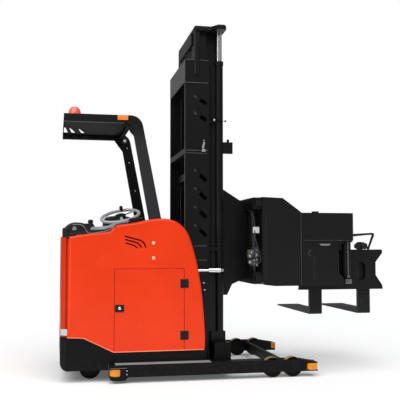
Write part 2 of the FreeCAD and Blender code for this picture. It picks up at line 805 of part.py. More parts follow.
def body_panels():
    """Side panels, rear panel with corner facets, and the hood with its two front wings."""
    sheet = S.panel_sheet
    outer = S.body_half
    sill = [(S.sill_step_x, S.sill_step_z), (S.sill_mid_x, S.sill_mid),
            (S.body_front_low - 22, S.sill_front)]
    top = [(S.hood_rear_x, S.hood_rear_z), (S.dash_x, S.dash_z)]
    door_hole = rectangle((S.door_rear, S.door_front), (S.door_bottom - S.door_gap, S.door_top))
    right = plate("side_panel_right", "XZ", [
        (S.body_rear + S.facet, S.sill_end_z), (S.sill_rear_x, S.sill_rear_z),
    ] + sill + front_edge() + top + [
        (S.dip_x, S.dip_z), (S.rail_x, S.rail_z), (S.body_rear + S.facet, S.rear_top),
    ], (-outer, sheet - outer), holes=[door_hole])
    vents = []
    for number in range(3):
        z = S.vent_z - S.vent_pitch * number
        run = S.vent_run - S.vent_run_step * number
        vents.append(bent_hole(f"vent{number}", [
            (S.vent_x, z), (S.vent_x + run, z - run * 0.29), (S.vent_x + run + 9, S.vent_end_z),
        ], (-outer - 1, sheet - outer + 1), S.vent_width))
    vented = cut("vented_panel_right", right, vents)
    node("side_panel_right", union("side_panel_right_set", [vented] + hinge_halves("panel", 1)))
    left = plate("side_panel_left", "XZ", sill + front_edge() + top, (outer - sheet, outer))
    node("side_panel_left", left)
    node("rear_panel", rear_wrap("rear_panel", sheet, outer - sheet, (S.skirt_rear_top, S.rear_top)))
    inner = outer - sheet
    hood = plate("hood_sheet", "XZ", [
        (S.shoulder_x, S.shoulder_z, S.hood_curve, 1), (S.hood_front_x, S.hood_front_z),
        (S.hood_rear_x, S.hood_rear_z), (S.hood_rear_x, S.hood_rear_z - sheet),
        (S.hood_front_x, S.hood_front_z - sheet, S.hood_curve - sheet, -1),
        (S.shoulder_x - sheet, S.shoulder_z),
        (S.shoulder_x - sheet, S.floor_top), (S.shoulder_x, S.floor_top),
    ], (-inner, inner))
    wing = plate("front_wing_right", "XZ", [
        (S.shoulder_x, S.sill_front), (S.body_front_low - 22, S.sill_front),
        (S.body_front_low, S.sill_front + 20),
        (S.body_front_mid_x, S.body_front_mid_z, S.front_curve, 1), (S.shoulder_x, S.shoulder_z),
    ], (-inner, -S.wing_inner))
    stay_hole = rod("stay_hole", "X", (S.stay_rear - S.running_gap, -S.stay_y, S.stay_z), 200,
                    S.stay_radius + S.running_gap)
    right_wing = cut("bored_wing_right", wing, [stay_hole])
    node("front_cowl", union("front_cowl", [hood, right_wing, mirrored("bored_wing_left", right_wing)]))


def battery_and_door():
    """The battery block and the door that covers it, hung at its front edge."""
    node("battery", box("battery", (S.door_rear + S.battery_end_gap, S.door_front - S.battery_end_gap),
                        (-S.battery_half_width, S.battery_half_width),
                        (S.floor_top, S.floor_top + S.battery_height)))
    outer = S.body_half
    slab = box("door_slab", (S.door_rear + S.door_gap, S.door_front - S.door_gap),
               (-outer, S.door_thick - outer), (S.door_bottom, S.door_top - S.door_gap))
    pieces = [slab] + hinge_halves("door", -1)
    lock_z = (S.door_bottom + S.door_top) / 2
    pieces.append(box("door_lock", (S.door_rear + 18, S.door_rear + 98),
                      (-outer - 9, -outer), (lock_z - 28, lock_z + 28)))
    node("battery_door", union("battery_door", pieces))


def operator_place():
    """Bulkhead with the dash, backrest pad, armrest and the steering wheel on its column."""
    sheet = S.panel_sheet
    dash = plate("dash_sheet", "XZ", [
        (S.bulkhead_x, S.floor_top), (S.bulkhead_x, S.dash_z - 45), (S.hood_rear_x, S.hood_rear_z - 12),
        (S.hood_rear_x, S.hood_rear_z - 12 - sheet), (S.bulkhead_x + sheet, S.dash_z - 52),
        (S.bulkhead_x + sheet, S.floor_top),
    ], (S.frame_plate - S.skirt_y, S.skirt_y - S.frame_plate))
    lean = Rotation(Vector(0, 1, 0), -SIZES["lean_back"]) * Rotation(Vector(1, 0, 0), SIZES["lean_side"])
    column = doc.addObject("Part::Cylinder", "steering_column")
    column.Placement = Placement(Vector(), lean)
    bind(column, "Radius", 24)
    bind(column, "Height", S.wheel_z - S.hood_rear_z + 42)
    up = lean.multVec(Vector(0, 0, 1))
    drop = S.wheel_z - S.hood_rear_z + 60
    place(column, S.wheel_x - drop * up.x, S.wheel_y - drop * up.y, S.wheel_z - drop * up.z)
    node("dash_console", union("dash_console", [dash, column]))
    pad_x = S.body_rear + sheet
    node("backrest_pad", plate("backrest_pad", "YZ", rectangle(
        (-S.pad_half_width, S.pad_half_width), (S.pad_bottom, S.pad_bottom + S.pad_height)),
        (pad_x, pad_x + S.pad_thick),
        rounds=[([(-S.pad_half_width, S.pad_bottom), (S.pad_half_width, S.pad_bottom),
                  (-S.pad_half_width, S.pad_bottom + S.pad_height),
                  (S.pad_half_width, S.pad_bottom + S.pad_height)], 40.0)]))
    rear = S.body_rear + S.facet
    node("armrest", plate("armrest", "XZ", [
        (rear, S.rear_top), (S.rail_x, S.rail_z), (S.rail_x + 45, S.rail_z + 30),
        (S.rail_x + 30, S.armrest_top - 26), (S.rail_x - 25, S.armrest_top),
        (S.rail_x - 115, S.armrest_top), (rear + 18, S.armrest_top - 45), (rear - 12, S.rear_top + 40),
    ], (-S.body_half, -S.armrest_in)))
    steering_wheel(lean)


def steering_wheel(lean):
    """Round rim, hub and three flat spokes, leaning towards the operator."""
    rim = doc.addObject("Part::Torus", "steering_rim")
    bind(rim, "Radius1", S.wheel_radius)
    bind(rim, "Radius2", S.rim_radius)
    hub = doc.addObject("Part::Cylinder", "steering_hub")
    bind(hub, "Radius", 34)
    bind(hub, "Height", 30)
    bind(hub, "Placement.Base.z", as_size(-17.7))
    pieces = [rim, hub]
    for number in range(3):
        spoke = doc.addObject("Part::Box", f"steering_spoke{number}")
        bind(spoke, "Length", S.wheel_radius)
        bind(spoke, "Width", 26)
        bind(spoke, "Height", 8)
        turn = Rotation(Vector(0, 0, 1), 90 + 120 * number)
        spoke.Placement = Placement(turn.multVec(Vector(0, -13, -4)), turn)
        pieces.append(spoke)
    knob = doc.addObject("Part::Cylinder", "steering_knob")
    bind(knob, "Radius", 15)
    bind(knob, "Height", 46)
    bind(knob, "Placement.Base.y", S.wheel_radius)
    pieces.append(knob)
    flat_wheel = union("steering_wheel", pieces)
    flat_wheel.Placement = Placement(Vector(), lean)
    node("steering_wheel", place(flat_wheel, S.wheel_x, S.wheel_y, S.wheel_z))


def overhead_guard():
    """Two hoops with their posts, the slotted roof between them, the beacon and marker lamps."""
    hoop_in = S.guard_out - S.guard_tube
    low = S.guard_top - S.guard_side
    bare = plate("guard_tube_right", "XZ", [
        (S.guard_rear, low), (S.guard_bend_low_x, low), (S.post_rear_x, S.hood_front_z - 12.3),
        (S.post_front_x, S.hood_front_z), (S.guard_bend_top_x, S.guard_top), (S.guard_rear, S.guard_top),
    ], (-S.guard_out, -hoop_in), rounds=[
        ([(S.guard_bend_low_x, low)], 55.0), ([(S.guard_bend_top_x, S.guard_top)], 110.0)])
    post_run = S.post_rear_x - S.guard_bend_low_x
    post_drop = low - (S.hood_front_z - 12.3)
    gusset_foot_x = S.guard_bend_low_x + post_run * S.gusset_drop / post_drop
    middle_y = -S.guard_out + S.guard_tube / 2
    gusset = plate("guard_gusset_right", "XZ", [
        (S.guard_bend_low_x - S.gusset_run, low + 3), (S.guard_bend_low_x - S.gusset_run, low),
        (gusset_foot_x, low - S.gusset_drop), (gusset_foot_x + 3, low - S.gusset_drop),
        (S.guard_bend_low_x + 30, low + 3),
    ], (middle_y - S.gusset_thick / 2, middle_y + S.gusset_thick / 2))
    right = node("guard_hoop_right", union("guard_hoop_right", [bare, gusset]))
    node("guard_hoop_left", mirrored("guard_hoop_left", right))
    roof_low = S.guard_top - S.roof_drop - S.roof_thick
    slots = []
    for number in range(3):
        x = S.guard_rear + S.slot_margin + S.slot_pitch * number
        slots.append([(x, 0), (x + S.slot_lean + S.slot_width, S.slot_length), (x + S.slot_lean, S.slot_length)])
    slotted = plate("slotted_roof", "XY", rectangle((S.guard_rear, S.guard_bend_low_x + 20), (-hoop_in, hoop_in)),
                    (roof_low, roof_low + S.roof_thick), holes=slots)
    rear_tube = box("guard_rear_tube", (S.guard_rear, S.guard_rear + S.roof_end), (-hoop_in, hoop_in),
                    (low, S.guard_top))
    front_tube = box("guard_front_tube", (S.guard_bend_low_x - 20, S.guard_bend_low_x + 20),
                     (-hoop_in, hoop_in), (low, S.guard_top - 8))
    stand = rod("beacon_stand", "Z", (S.beacon_x, S.beacon_y, roof_low + S.roof_thick), 24, S.beacon_radius + 4)
    node("guard_roof", union("guard_roof", [slotted, rear_tube, front_tube, stand]))
    node("beacon_dome", turned("beacon_dome", "Z", (S.beacon_x, S.beacon_y, roof_low + S.roof_thick + 24), [
        (0, 0), (S.beacon_radius, 0), (S.beacon_radius, S.beacon_height * 0.55),
        (S.beacon_radius * 0.82, S.beacon_height * 0.85), (S.beacon_radius * 0.45, S.beacon_height),
        (0, S.beacon_height),
    ]))
    lamp = box("marker_lamp_right", (S.lamp_x, S.lamp_x + S.lamp_length),
               (-S.guard_out - 12, -S.guard_out), (S.guard_top - 3 - S.lamp_height, S.guard_top - 3))
    node("marker_lamps", group("marker_lamps", [lamp, mirrored("marker_lamp_left", lamp)]))


def drive_unit():
    """The steered drive wheel in its turret, under the floor plate."""
    plate_low = S.floor_top - S.frame_plate
    crown = plate_low - S.running_gap
    side = S.drive_width / 2 + 8
    ring = rod("slew_ring", "Z", (S.drive_x, 0, crown - 8), 8, 105)
    bridge = box("turret_bridge", (S.drive_x - 55, S.drive_x + 55), (-side - 16, side + 16), (crown - 16, crown - 8))
    cheeks = []
    for name, y in (("right", -side - 16), ("left", side)):
        cheeks.append(box(f"turret_cheek_{name}", (S.drive_x - 42, S.drive_x + 42), (y, y + 16),
                          (S.drive_radius - 40, crown - 16)))
    motor = rod("drive_motor", "Y", (S.drive_x, side + 16, S.drive_radius + 20), 92, 56)
    axle = rod("drive_axle", "Y", (S.drive_x, -side - 16, S.drive_radius), side * 2 + 16, 18)
    node("drive_turret", union("drive_turret", [ring, bridge, motor, axle] + cheeks))
    node("drive_wheel", wheel("drive_wheel", "Y", (S.drive_x, 0, S.drive_radius), S.drive_radius,
                              S.drive_width, 18 + S.running_gap, 8.0))


def castors():
    """Two swivel castors beside the drive wheel."""
    crown = S.floor_top - S.frame_plate - S.running_gap
    wheel_x = S.drive_x - S.castor_trail
    side = S.castor_width / 2 + 6
    for side_name, y in (("right", -S.castor_y), ("left", S.castor_y)):
        head = rod(f"castor_head_{side_name}", "Z", (S.drive_x, y, crown - 22), 22, 52)
        crown_plate = box(f"castor_crown_{side_name}", (wheel_x - 32, S.drive_x + 36),
                          (y - side - 6, y + side + 6), (crown - 32, crown - 22))
        pieces = [head, crown_plate]
        for cheek, offset in (("outer", -side - 6), ("inner", side)):
            outline = [
                (wheel_x - 20, S.castor_radius - 20), (wheel_x + 20, S.castor_radius - 20),
                (S.drive_x + 36, crown - 32), (wheel_x - 32, crown - 32),
            ]
            pieces.append(plate(f"castor_cheek_{cheek}_{side_name}", "XZ", outline, (y + offset, y + offset + 6)))
        pieces.append(rod(f"castor_axle_{side_name}", "Y", (wheel_x, y - side - 6, S.castor_radius), side * 2 + 12, 10))
        node(f"castor_fork_{side_name}", union(f"castor_fork_{side_name}", pieces))
        node(f"castor_wheel_{side_name}", wheel(
            f"castor_wheel_{side_name}", "Y", (wheel_x, y, S.castor_radius), S.castor_radius,
            S.castor_width, 10 + S.running_gap, 5.0))


def channel(name, web_y, flange_y, wall, x_span, z_span):
    """An upright channel with its web outside and its flanges pointing to the middle."""
    outline = [
        (x_span[0], web_y), (x_span[1], web_y), (x_span[1], flange_y), (x_span[1] - wall, flange_y),
        (x_span[1] - wall, web_y + wall), (x_span[0] + wall, web_y + wall),
        (x_span[0] + wall, flange_y), (x_span[0], flange_y),
    ]
    return plate(name, "XY", outline, z_span)


def outer_mast():
    """Outer columns, the slotted plates over them, cross members and the stays to the body."""
    web = S.column_wall - S.mast_half
    column_front = S.column_rear + S.column_depth
    column = channel("mast_column_right", web, web + S.column_flange, S.column_wall,
                     (S.column_rear, column_front), (S.foot_top, S.mast_top))
    node("mast_column_right", column)
    node("mast_column_left", mirrored("mast_column_left", column))
    face = -S.mast_half
    back = S.column_wall - S.mast_half
    stepped = union("mast_plate_blank", [
        box("mast_plate_sheet", (S.mast_rear, S.mast_front), (face + S.plate_step, back), (S.plate_bottom, S.mast_top)),
        box("mast_collar", (S.mast_rear, S.mast_front), (face, back), (S.band_bottom, S.mast_top)),
        box("mast_lower_cover", (S.mast_rear, S.mast_front), (face, back), (S.plate_bottom, S.crossbar_high_z)),
    ])
    slots = []
    slot_x = S.column_rear + S.column_depth / 2 - S.diagonal_run / 2 - 5
    lower = [(S.diagonal_first_z + S.diagonal_pitch * number, S.diagonal_rise) for number in range(4)]
    upper = [(S.diagonal_high_z + S.diagonal_high_pitch * number, S.diagonal_high_rise) for number in range(2)]
    for number, (z, rise) in enumerate(lower + upper):
        slots.append(bent_hole(f"mast_slot{number}", [(slot_x, z + rise), (slot_x + S.diagonal_run, z)],
                               (face - 1, back + 1), S.diagonal_width))
    recess = plate("mast_recess", "XZ", rectangle(
        (slot_x - 8, slot_x + S.diagonal_run + 12), (S.recess_bottom, S.recess_bottom + S.recess_height)),
        (face - 1, face + S.recess_depth), rounds=[
            ([(slot_x - 8, S.recess_bottom), (slot_x - 8, S.recess_bottom + S.recess_height)], 30.0)])
    side = cut("mast_plate_right", stepped, slots + [recess])
    node("mast_plate_right", side)
    node("mast_plate_left", mirrored("mast_plate_left", side))
    inside = S.mast_half - S.column_wall
    node("mast_top_band", box("mast_top_band", (S.mast_rear, S.mast_rear + S.column_wall),
                              (-inside, inside), (S.band_bottom, S.mast_top)))
    bars = []
    for level, z in (("high", S.crossbar_high_z), ("mid", S.crossbar_mid_z), ("low", S.crossbar_low_z)):
        bars.append(box(f"mast_crossbar_{level}", (S.mast_rear, S.column_rear - S.moving_gap),
                        (-inside, inside), (z, z + S.crossbar_height)))
    node("mast_crossbars", group("mast_crossbars", bars))
    stay = rod("mast_stay_thin", "X", (S.stay_rear, -S.stay_y, S.stay_z), 152, S.stay_radius)
    grip = rod("mast_stay_thick", "X", (S.stay_rear + 150, -S.stay_y, S.stay_z), 106, 22)
    arm = box("mast_stay_arm", (S.cylinder_x - 50, S.cylinder_x + 10),
              (-S.stay_y, -S.cylinder_y - S.cylinder_radius - S.running_gap), (S.stay_z - 12, S.stay_z + 12))
    right = union("mast_stay_right", [stay, grip, arm])
    node("mast_stays", group("mast_stays", [right, mirrored("mast_stay_left", right)]))


def lift_cylinders():
    """Cylinder tubes in front of the columns, bored for the rods and clamped to the columns."""
    tube = rod("cylinder_tube", "Z", (S.cylinder_x, -S.cylinder_y, S.cylinder_bottom),
               S.mast_top - S.cylinder_bottom, S.cylinder_radius)
    gland = rod("cylinder_gland", "Z", (S.cylinder_x, -S.cylinder_y, S.mast_top - 36), 36, S.cylinder_radius + 4)
    foot = box("cylinder_foot", (S.foot_block_rear, S.foot_front - 20),
               (-S.mast_half, -S.cylinder_y + 45), (S.foot_block_top, S.cylinder_bottom + 8))
    front = S.column_rear + S.column_depth
    pieces = [tube, gland, foot]
    for number, z in enumerate((S.clamp_z, S.crossbar_mid_z)):
        pieces.append(box(f"cylinder_clamp{number}", (front, S.cylinder_x + 20),
                          (S.column_wall - S.mast_half, -S.cylinder_y + 42), (z, z + S.clamp_height)))
    solid = union("cylinder_solid", pieces)
    bore = rod("cylinder_bore_hole", "Z", (S.cylinder_x, -S.cylinder_y, S.rod_bottom - 400),
               S.mast_top - S.rod_bottom + 401, S.rod_radius + S.running_gap)
    right = cut("lift_cylinder_right", solid, [bore])
    switch_y = (-S.cylinder_y - S.switch_width / 2, -S.cylinder_y + S.switch_width / 2)
    switch = box("mast_switch", (S.cylinder_x + S.rod_radius + 3, S.switch_front), switch_y,
                 (S.switch_z, S.switch_z + S.switch_height))
    knob = rod("mast_switch_knob", "Z", (S.switch_front - 40, -S.cylinder_y, S.switch_z + S.switch_height - 1), 28, 12)
    switched = union("lift_cylinder_right_set", [right, switch, knob])
    node("lift_cylinders", group("lift_cylinders", [switched, mirrored("lift_cylinder_left", right)]))
    ram = rod("lift_rod_right", "Z", (S.cylinder_x, -S.cylinder_y, S.rod_bottom),
              S.inner_top - S.rod_bottom, S.rod_radius)
    node("lift_rods", group("lift_rods", [ram, mirrored("lift_rod_left", ram)]))


def inner_mast():
    """Inner columns, cap plate with its hanging bars, and the chains over their pulleys."""
    web = S.column_wall * 2 - S.mast_half + S.moving_gap
    x_span = (S.column_rear + S.column_wall + S.moving_gap,
              S.column_rear + S.column_depth - S.column_wall - S.moving_gap)
    flange = web + S.inner_wall + S.inner_flange
    column = channel("inner_column_right", web, flange, S.inner_wall, x_span, (S.inner_bottom, S.inner_top))
    node("inner_column_right", column)
    node("inner_column_left", mirrored("inner_column_left", column))
    notch = -flange
    notch_x = S.column_rear + S.column_depth + 20
    lobe = S.cap_half + S.cap_lobe
    lobe_x = S.cylinder_x - S.cylinder_radius
    cap = plate("cap_plate", "XY", [
        (S.cap_rear, -S.cap_half), (lobe_x - 50, -S.cap_half), (lobe_x, -lobe), (S.cap_front, -lobe),
        (S.cap_front, -notch), (notch_x, -notch), (notch_x, notch), (S.cap_front, notch),
        (S.cap_front, lobe), (lobe_x, lobe), (lobe_x - 50, S.cap_half), (S.cap_rear, S.cap_half),
    ], (S.inner_top, S.inner_top + S.cap_thick), rounds=[
        ([(S.cap_front, -lobe), (S.cap_front, lobe)], 30.0),
        ([(S.cap_rear, -S.cap_half), (S.cap_rear, S.cap_half)], 20.0)])
    bar_out = S.mast_half + S.moving_gap + 6
    bar = box("cap_bar_right", (S.cap_rear, S.cap_rear + 50), (-bar_out, -bar_out + 6),
              (S.inner_top - S.cap_bar_length, S.inner_top))
    node("inner_cap", union("inner_cap", [cap, bar, mirrored("cap_bar_left", bar)]))
    bars = []
    inside = S.mast_half - S.column_wall - S.column_flange - S.moving_gap
    for level, z, height in (("top", S.inner_top - S.crossbar_drop, S.crossbar_drop),
                             ("mid", S.inner_bottom + S.crossbar_step, S.crossbar_mid_height),
                             ("low", S.inner_bottom, S.crossbar_low_height)):
        bars.append(box(f"inner_crossbar_{level}", (S.column_rear, x_span[0]), (-inside, inside), (z, z + height)))
    node("inner_crossbars", group("inner_crossbars", bars))
    strands = []
    for side_name, side in (("right", -1), ("left", 1)):
        y = S.pulley_y * side
        sheave = rod(f"pulley_{side_name}", "Y", (S.pulley_x, y - 15, S.pulley_z), 30, S.pulley_radius)
        hanger = box(f"pulley_hanger_{side_name}", (x_span[0], S.pulley_x + 16),
                     (y - 27, y - 15), (S.inner_top - 230, S.inner_top - 20))
        pieces = [sheave, hanger]
        for run, x, low in (("front", S.pulley_x + S.pulley_radius - 2, S.chain_end),
                            ("rear", S.pulley_x - S.pulley_radius - S.chain_thick + 2, S.chain_end + 200)):
            pieces.append(box(f"chain_{run}_{side_name}", (x, x + S.chain_thick),
                              (y - S.chain_width / 2, y + S.chain_width / 2), (low, S.pulley_z)))
        strands.append(union(f"chain_set_{side_name}", pieces))
    node("lift_chains", group("lift_chains", strands))


def lift_carriage():
    """Side plates with rollers in the inner mast, the back plate, and the traverse rails."""
    side_in = S.carriage_y - S.carriage_wall
    rear = S.column_rear + 54
    front = S.carriage_front
    side = plate("carriage_side", "XZ", [
        (rear, S.carriage_bottom), (front - 158, S.carriage_bottom), (front - 111, S.carriage_bottom + 99),
        (front, S.carriage_bottom + 146), (front, S.carriage_top - 150), (front - 12, S.carriage_top - 142),
        (S.cylinder_x + 15, S.carriage_top), (rear, S.carriage_top),
    ], (-S.carriage_y, -side_in))
    roller_x = S.column_rear + S.column_depth / 2
    roller_radius = S.column_depth / 2 - S.column_wall - S.moving_gap - S.inner_wall - S.running_gap
    rollers = []
    for level, z in (("low", S.roller_low_z), ("high", S.roller_high_z)):
        rollers.append(rod(f"carriage_roller_{level}", "Y", (roller_x, -S.carriage_y - 76, z), 74, roller_radius))
        rollers.append(rod(f"carriage_stub_{level}", "Y", (roller_x, -S.carriage_y - 10, z), 24, 20))
    back = box("carriage_back", (front - 12, front), (-side_in, side_in),
               (S.rail_low_z + 40, S.rail_high_z + 60))
    lug_rear = S.pulley_x + S.pulley_radius - 2 + S.chain_thick + S.running_gap
    lug_bar = box("chain_lug_bar", (lug_rear, lug_rear + 30), (-side_in, side_in),
                  (S.chain_end - 10, S.chain_end + 60))
    right = union("carriage_side_right", [side] + rollers)
    node("carriage_frame", union("carriage_frame", [right, mirrored("carriage_side_left", right), back, lug_bar]))
    rails = []
    depth = (front, front + S.rail_depth)
    for level, z in (("low", S.rail_low_z), ("high", S.rail_high_z)):
        solid = box(f"rail_{level}_solid", depth, (-S.rail_half, S.rail_half), (z, z + S.rail_height))
        groove = box(f"rail_{level}_groove", (depth[0] + 12, depth[1] + 1), (-S.rail_half - 1, S.rail_half + 1),
                     (z + S.rail_wall, z + S.rail_height - S.rail_wall))
        rails.append(cut(f"rail_{level}", solid, [groove]))
    for side_name, y in (("right", S.head_y + 60), ("left", -S.head_y - 72)):
        rails.append(box(f"rail_web_{side_name}", (front, front + S.rail_depth - 4), (y, y + 12),
                         (S.rail_low_z + S.rail_height - 5, S.rail_high_z + 5)))
    node("traverse_rails", union("traverse_rails", rails))
    end = S.head_y + 60
    motor = rod("traverse_motor", "Y", (front + 4 + S.motor_radius, end - S.motor_length, S.motor_z),
                S.motor_length, S.motor_radius)
    valve = box("valve_block", (front + 2, front + 2 + S.valve_depth), (end - 100, end),
                (S.valve_z, S.valve_z + S.valve_height))
    saddle = box("motor_saddle", (front + 10, front + S.valve_depth), (end - 90, end),
                 (S.valve_z + S.valve_height - 10, S.motor_z - 15))
    label = box("blank_plate", (front + 2, front + 2 + S.valve_depth), (end - 68, end),
                (S.plate_z, S.plate_z + S.plate_height))
    node("traverse_drive", group("traverse_drive", [union("motor_and_valve", [motor, valve, saddle]), label]))


def traversing_head():
    """Housing that slides along the rails, the cover over the pivot and the arm under it."""
    near = S.head_y - S.head_half
    far = S.head_y + S.head_half
    shell = plate("housing_shell", "XZ", [
        (S.head_back, S.head_bottom + 33), (S.head_back + 22, S.head_bottom + 11), (S.head_back + 114, S.head_bottom),
        (S.head_front, S.head_bottom), (S.head_front, S.head_nose_z), (S.head_crest_x, S.head_crest_z),
        (S.head_back, S.head_top),
    ], (near, far))
    hooks = [shell]
    for level, z in (("low", S.rail_low_z), ("high", S.rail_high_z)):
        gap = S.rail_wall + S.running_gap
        hooks.append(box(f"rail_hook_{level}", (S.carriage_front + 12 + S.moving_gap, S.head_back),
                         (near + 10, far - 10), (z + gap, z + S.rail_height - gap)))
    node("slide_housing", union("slide_housing", hooks))
    cover_y = (S.head_y - S.cover_half, S.head_y + S.cover_half)
    cover = plate("cover_body", "XY", rectangle(
        (S.head_front, S.cover_front), cover_y), (S.cover_bottom, S.cover_top),
        rounds=[([(S.cover_front, cover_y[0]), (S.cover_front, cover_y[1])], S.cover_round)])
    port = rod("cover_hose_port", "Z", (S.head_front + 170, S.head_y, S.cover_top - 1), 17, 32)
    node("rotator_cover", union("rotator_cover", [cover, port]))
    arm_y = (S.head_y - S.arm_half, S.head_y + S.arm_half)
    arm = plate("arm_body", "XZ", [
        (S.head_front, S.head_bottom - 2), (S.arm_foot_front, S.head_bottom - 2),
        (S.arm_foot_front, S.arm_foot_top), (S.pivot_x - S.pivot_radius - S.moving_gap, S.arm_foot_top),
        (S.arm_panel_front, S.arm_foot_top + 68), (S.arm_panel_front, S.cover_bottom),
        (S.head_front, S.cover_bottom),
    ], arm_y)
    boss_x = S.head_front + 100
    boss = rod("arm_boss", "Y", (boss_x, arm_y[0] - 6, S.cover_bottom - 114), 8, 22)
    groove = box("arm_groove", (boss_x + 26, boss_x + 32), (arm_y[0] - 1, arm_y[0] + S.arm_groove),
                 (S.arm_foot_top, S.cover_bottom - 123))
    pocket = bent_hole("arm_pocket", [(boss_x + 76, S.cover_bottom - 48), (boss_x + 180, S.cover_bottom - 48)],
                       (arm_y[0] - 1, arm_y[0] + S.arm_groove * 2), 20)
    node("lower_arm", cut("lower_arm", union("arm_with_boss", [arm, boss]), [groove, pocket]))


def obround(name, x, z_span, y_span, width):
    """A tool for an upright hole with round ends."""
    half = width / 2
    middle = box(name + "_middle", (x - half, x + half), y_span, (z_span[0] + half, z_span[1] - half))
    low = rod(name + "_low", "Y", (x, y_span[0], z_span[0] + half), y_span[1] - y_span[0], half)
    high = rod(name + "_high", "Y", (x, y_span[0], z_span[1] - half), y_span[1] - y_span[0], half)
    return union(name, [middle, low, high])


def turning_forks():
    """Pivot tube with two webs, the fork carriage plate, the hose guard bar and two forks."""
    face = S.head_y + S.fork_face
    back = face - S.fork_plate
    x = S.pivot_x
    half = S.fork_plate_half
    waist = S.fork_plate_waist
    low = S.fork_plate_bottom
    top = S.fork_plate_top
    outline = [
        (x - half, low), (x + half, low), (x + half - 4, low + 36), (x + waist, low + 131),
        (x + waist, low + 253), (x + half, top - 30), (x + half - 4, top),
        (x - half + 4, top), (x - half, top - 30), (x - waist, low + 253), (x - waist, low + 131),
        (x - half + 4, low + 36),
    ]
    blank = plate("fork_plate_blank", "XZ", outline, (back, face))
    holes = []
    middle_z = (low + top) / 2 - 16
    for side_name, offset in (("front", S.obround_x), ("rear", -S.obround_x)):
        holes.append(obround(f"plate_hole_{side_name}", x + offset,
                             (middle_z - S.obround_height / 2, middle_z + S.obround_height / 2),
                             (back - 1, face + 1), S.obround_width))
    fork_plate = cut("fork_plate_cut", blank, holes)
    tube_low = S.arm_foot_top + S.running_gap
    tube = rod("pivot_tube", "Z", (x, S.head_y, tube_low), S.cover_bottom - S.running_gap - tube_low, S.pivot_radius)
    pieces = [fork_plate, tube]
    for level, z in (("low", S.arm_foot_top + 6), ("high", top - 34)):
        pieces.append(box(f"pivot_web_{level}", (x - 42, x + 42), (S.head_y, back + 1), (z, z + 28)))
    bar = S.guard_bar
    pieces.append(plate("hose_guard", "XZ", [
        (x + 20, top), (x + 20 + bar, top), (x + 20 + bar, top + 114), (x + 324, top + 142),
        (x + 272, top), (x + 272 + bar, top), (x + 345, top + 156), (x + 20, top + 126),
    ], (face - 20, face - 8)))
    pieces.append(rod("fork_motor", "Y", (x + 192, face - 45, top + 34), 45, 38))
    node("fork_carriage", union("fork_carriage", pieces))
    heel = face + S.fork_thick
    for side_name, offset in (("rear", -S.fork_centre), ("front", S.fork_centre)):
        centre = x + offset
        fork = plate(f"fork_{side_name}", "YZ", [
            (face, S.fork_bottom), (face + S.fork_length, S.fork_bottom),
            (face + S.fork_length, S.fork_bottom + S.fork_tip_thick),
            (face + S.fork_length - 320, S.fork_bottom + S.fork_thick),
            (heel, S.fork_bottom + S.fork_thick), (heel, top - 10), (face, top - 10),
        ], (centre - S.fork_width / 2, centre + S.fork_width / 2), rounds=[
            ([(face, S.fork_bottom)], 20.0)])
        node(f"fork_{side_name}", fork)


straddle_legs()
chassis_base()
body_panels()
battery_and_door()
operator_place()
overhead_guard()
drive_unit()
castors()
outer_mast()
lift_cylinders()
inner_mast()
lift_carriage()
traversing_head()
turning_forks()
doc.recompute()

for item in doc.Objects:
    if "Invalid" in item.State or "Error" in item.State:
        raise RuntimeError(f"{item.Name} failed: {item.State}")

os.makedirs("parts", exist_ok=True)
for name, item in nodes:
    shape = item.Shape
    if shape.isNull() or not shape.isValid() or not shape.Solids:
        raise RuntimeError(f"{name} has no valid solid")
    shape.exportStep(f"parts/{name}.step")
    extent = shape.BoundBox
    print(f"{name:26s} solids {len(shape.Solids):2d}  "
          f"x {extent.XMin:8.1f} {extent.XMax:8.1f}  y {extent.YMin:7.1f} {extent.YMax:7.1f}  "
          f"z {extent.ZMin:7.1f} {extent.ZMax:7.1f}")
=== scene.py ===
"""Dresses the three-way stacker for its picture: skins, fittings, wheels, finishes, light and camera."""

import math

import bmesh
import bpy
import numpy as np
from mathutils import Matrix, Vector
from mathutils.geometry import tessellate_polygon


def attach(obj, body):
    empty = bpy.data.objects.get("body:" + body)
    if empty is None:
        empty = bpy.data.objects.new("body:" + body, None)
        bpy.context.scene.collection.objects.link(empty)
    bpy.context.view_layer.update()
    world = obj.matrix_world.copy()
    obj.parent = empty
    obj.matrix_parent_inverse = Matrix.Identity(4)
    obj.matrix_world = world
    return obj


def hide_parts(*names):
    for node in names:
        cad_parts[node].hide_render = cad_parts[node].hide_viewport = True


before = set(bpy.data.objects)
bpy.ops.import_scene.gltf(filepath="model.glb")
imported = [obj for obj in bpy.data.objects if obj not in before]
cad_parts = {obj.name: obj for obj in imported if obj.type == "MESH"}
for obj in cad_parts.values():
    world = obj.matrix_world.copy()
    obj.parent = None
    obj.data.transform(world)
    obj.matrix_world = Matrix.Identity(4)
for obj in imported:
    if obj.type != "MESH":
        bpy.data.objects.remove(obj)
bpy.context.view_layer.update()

MM = 0.001
AXES = {"X": 0, "Y": 1, "Z": 2}
HOLE_EDGE = 1.0
CORNER_STEPS = 6
LONGEST_MITRE = 4.0
SAME_POINT = 1e-6


# ---------------------------------------------------------------- surfaces


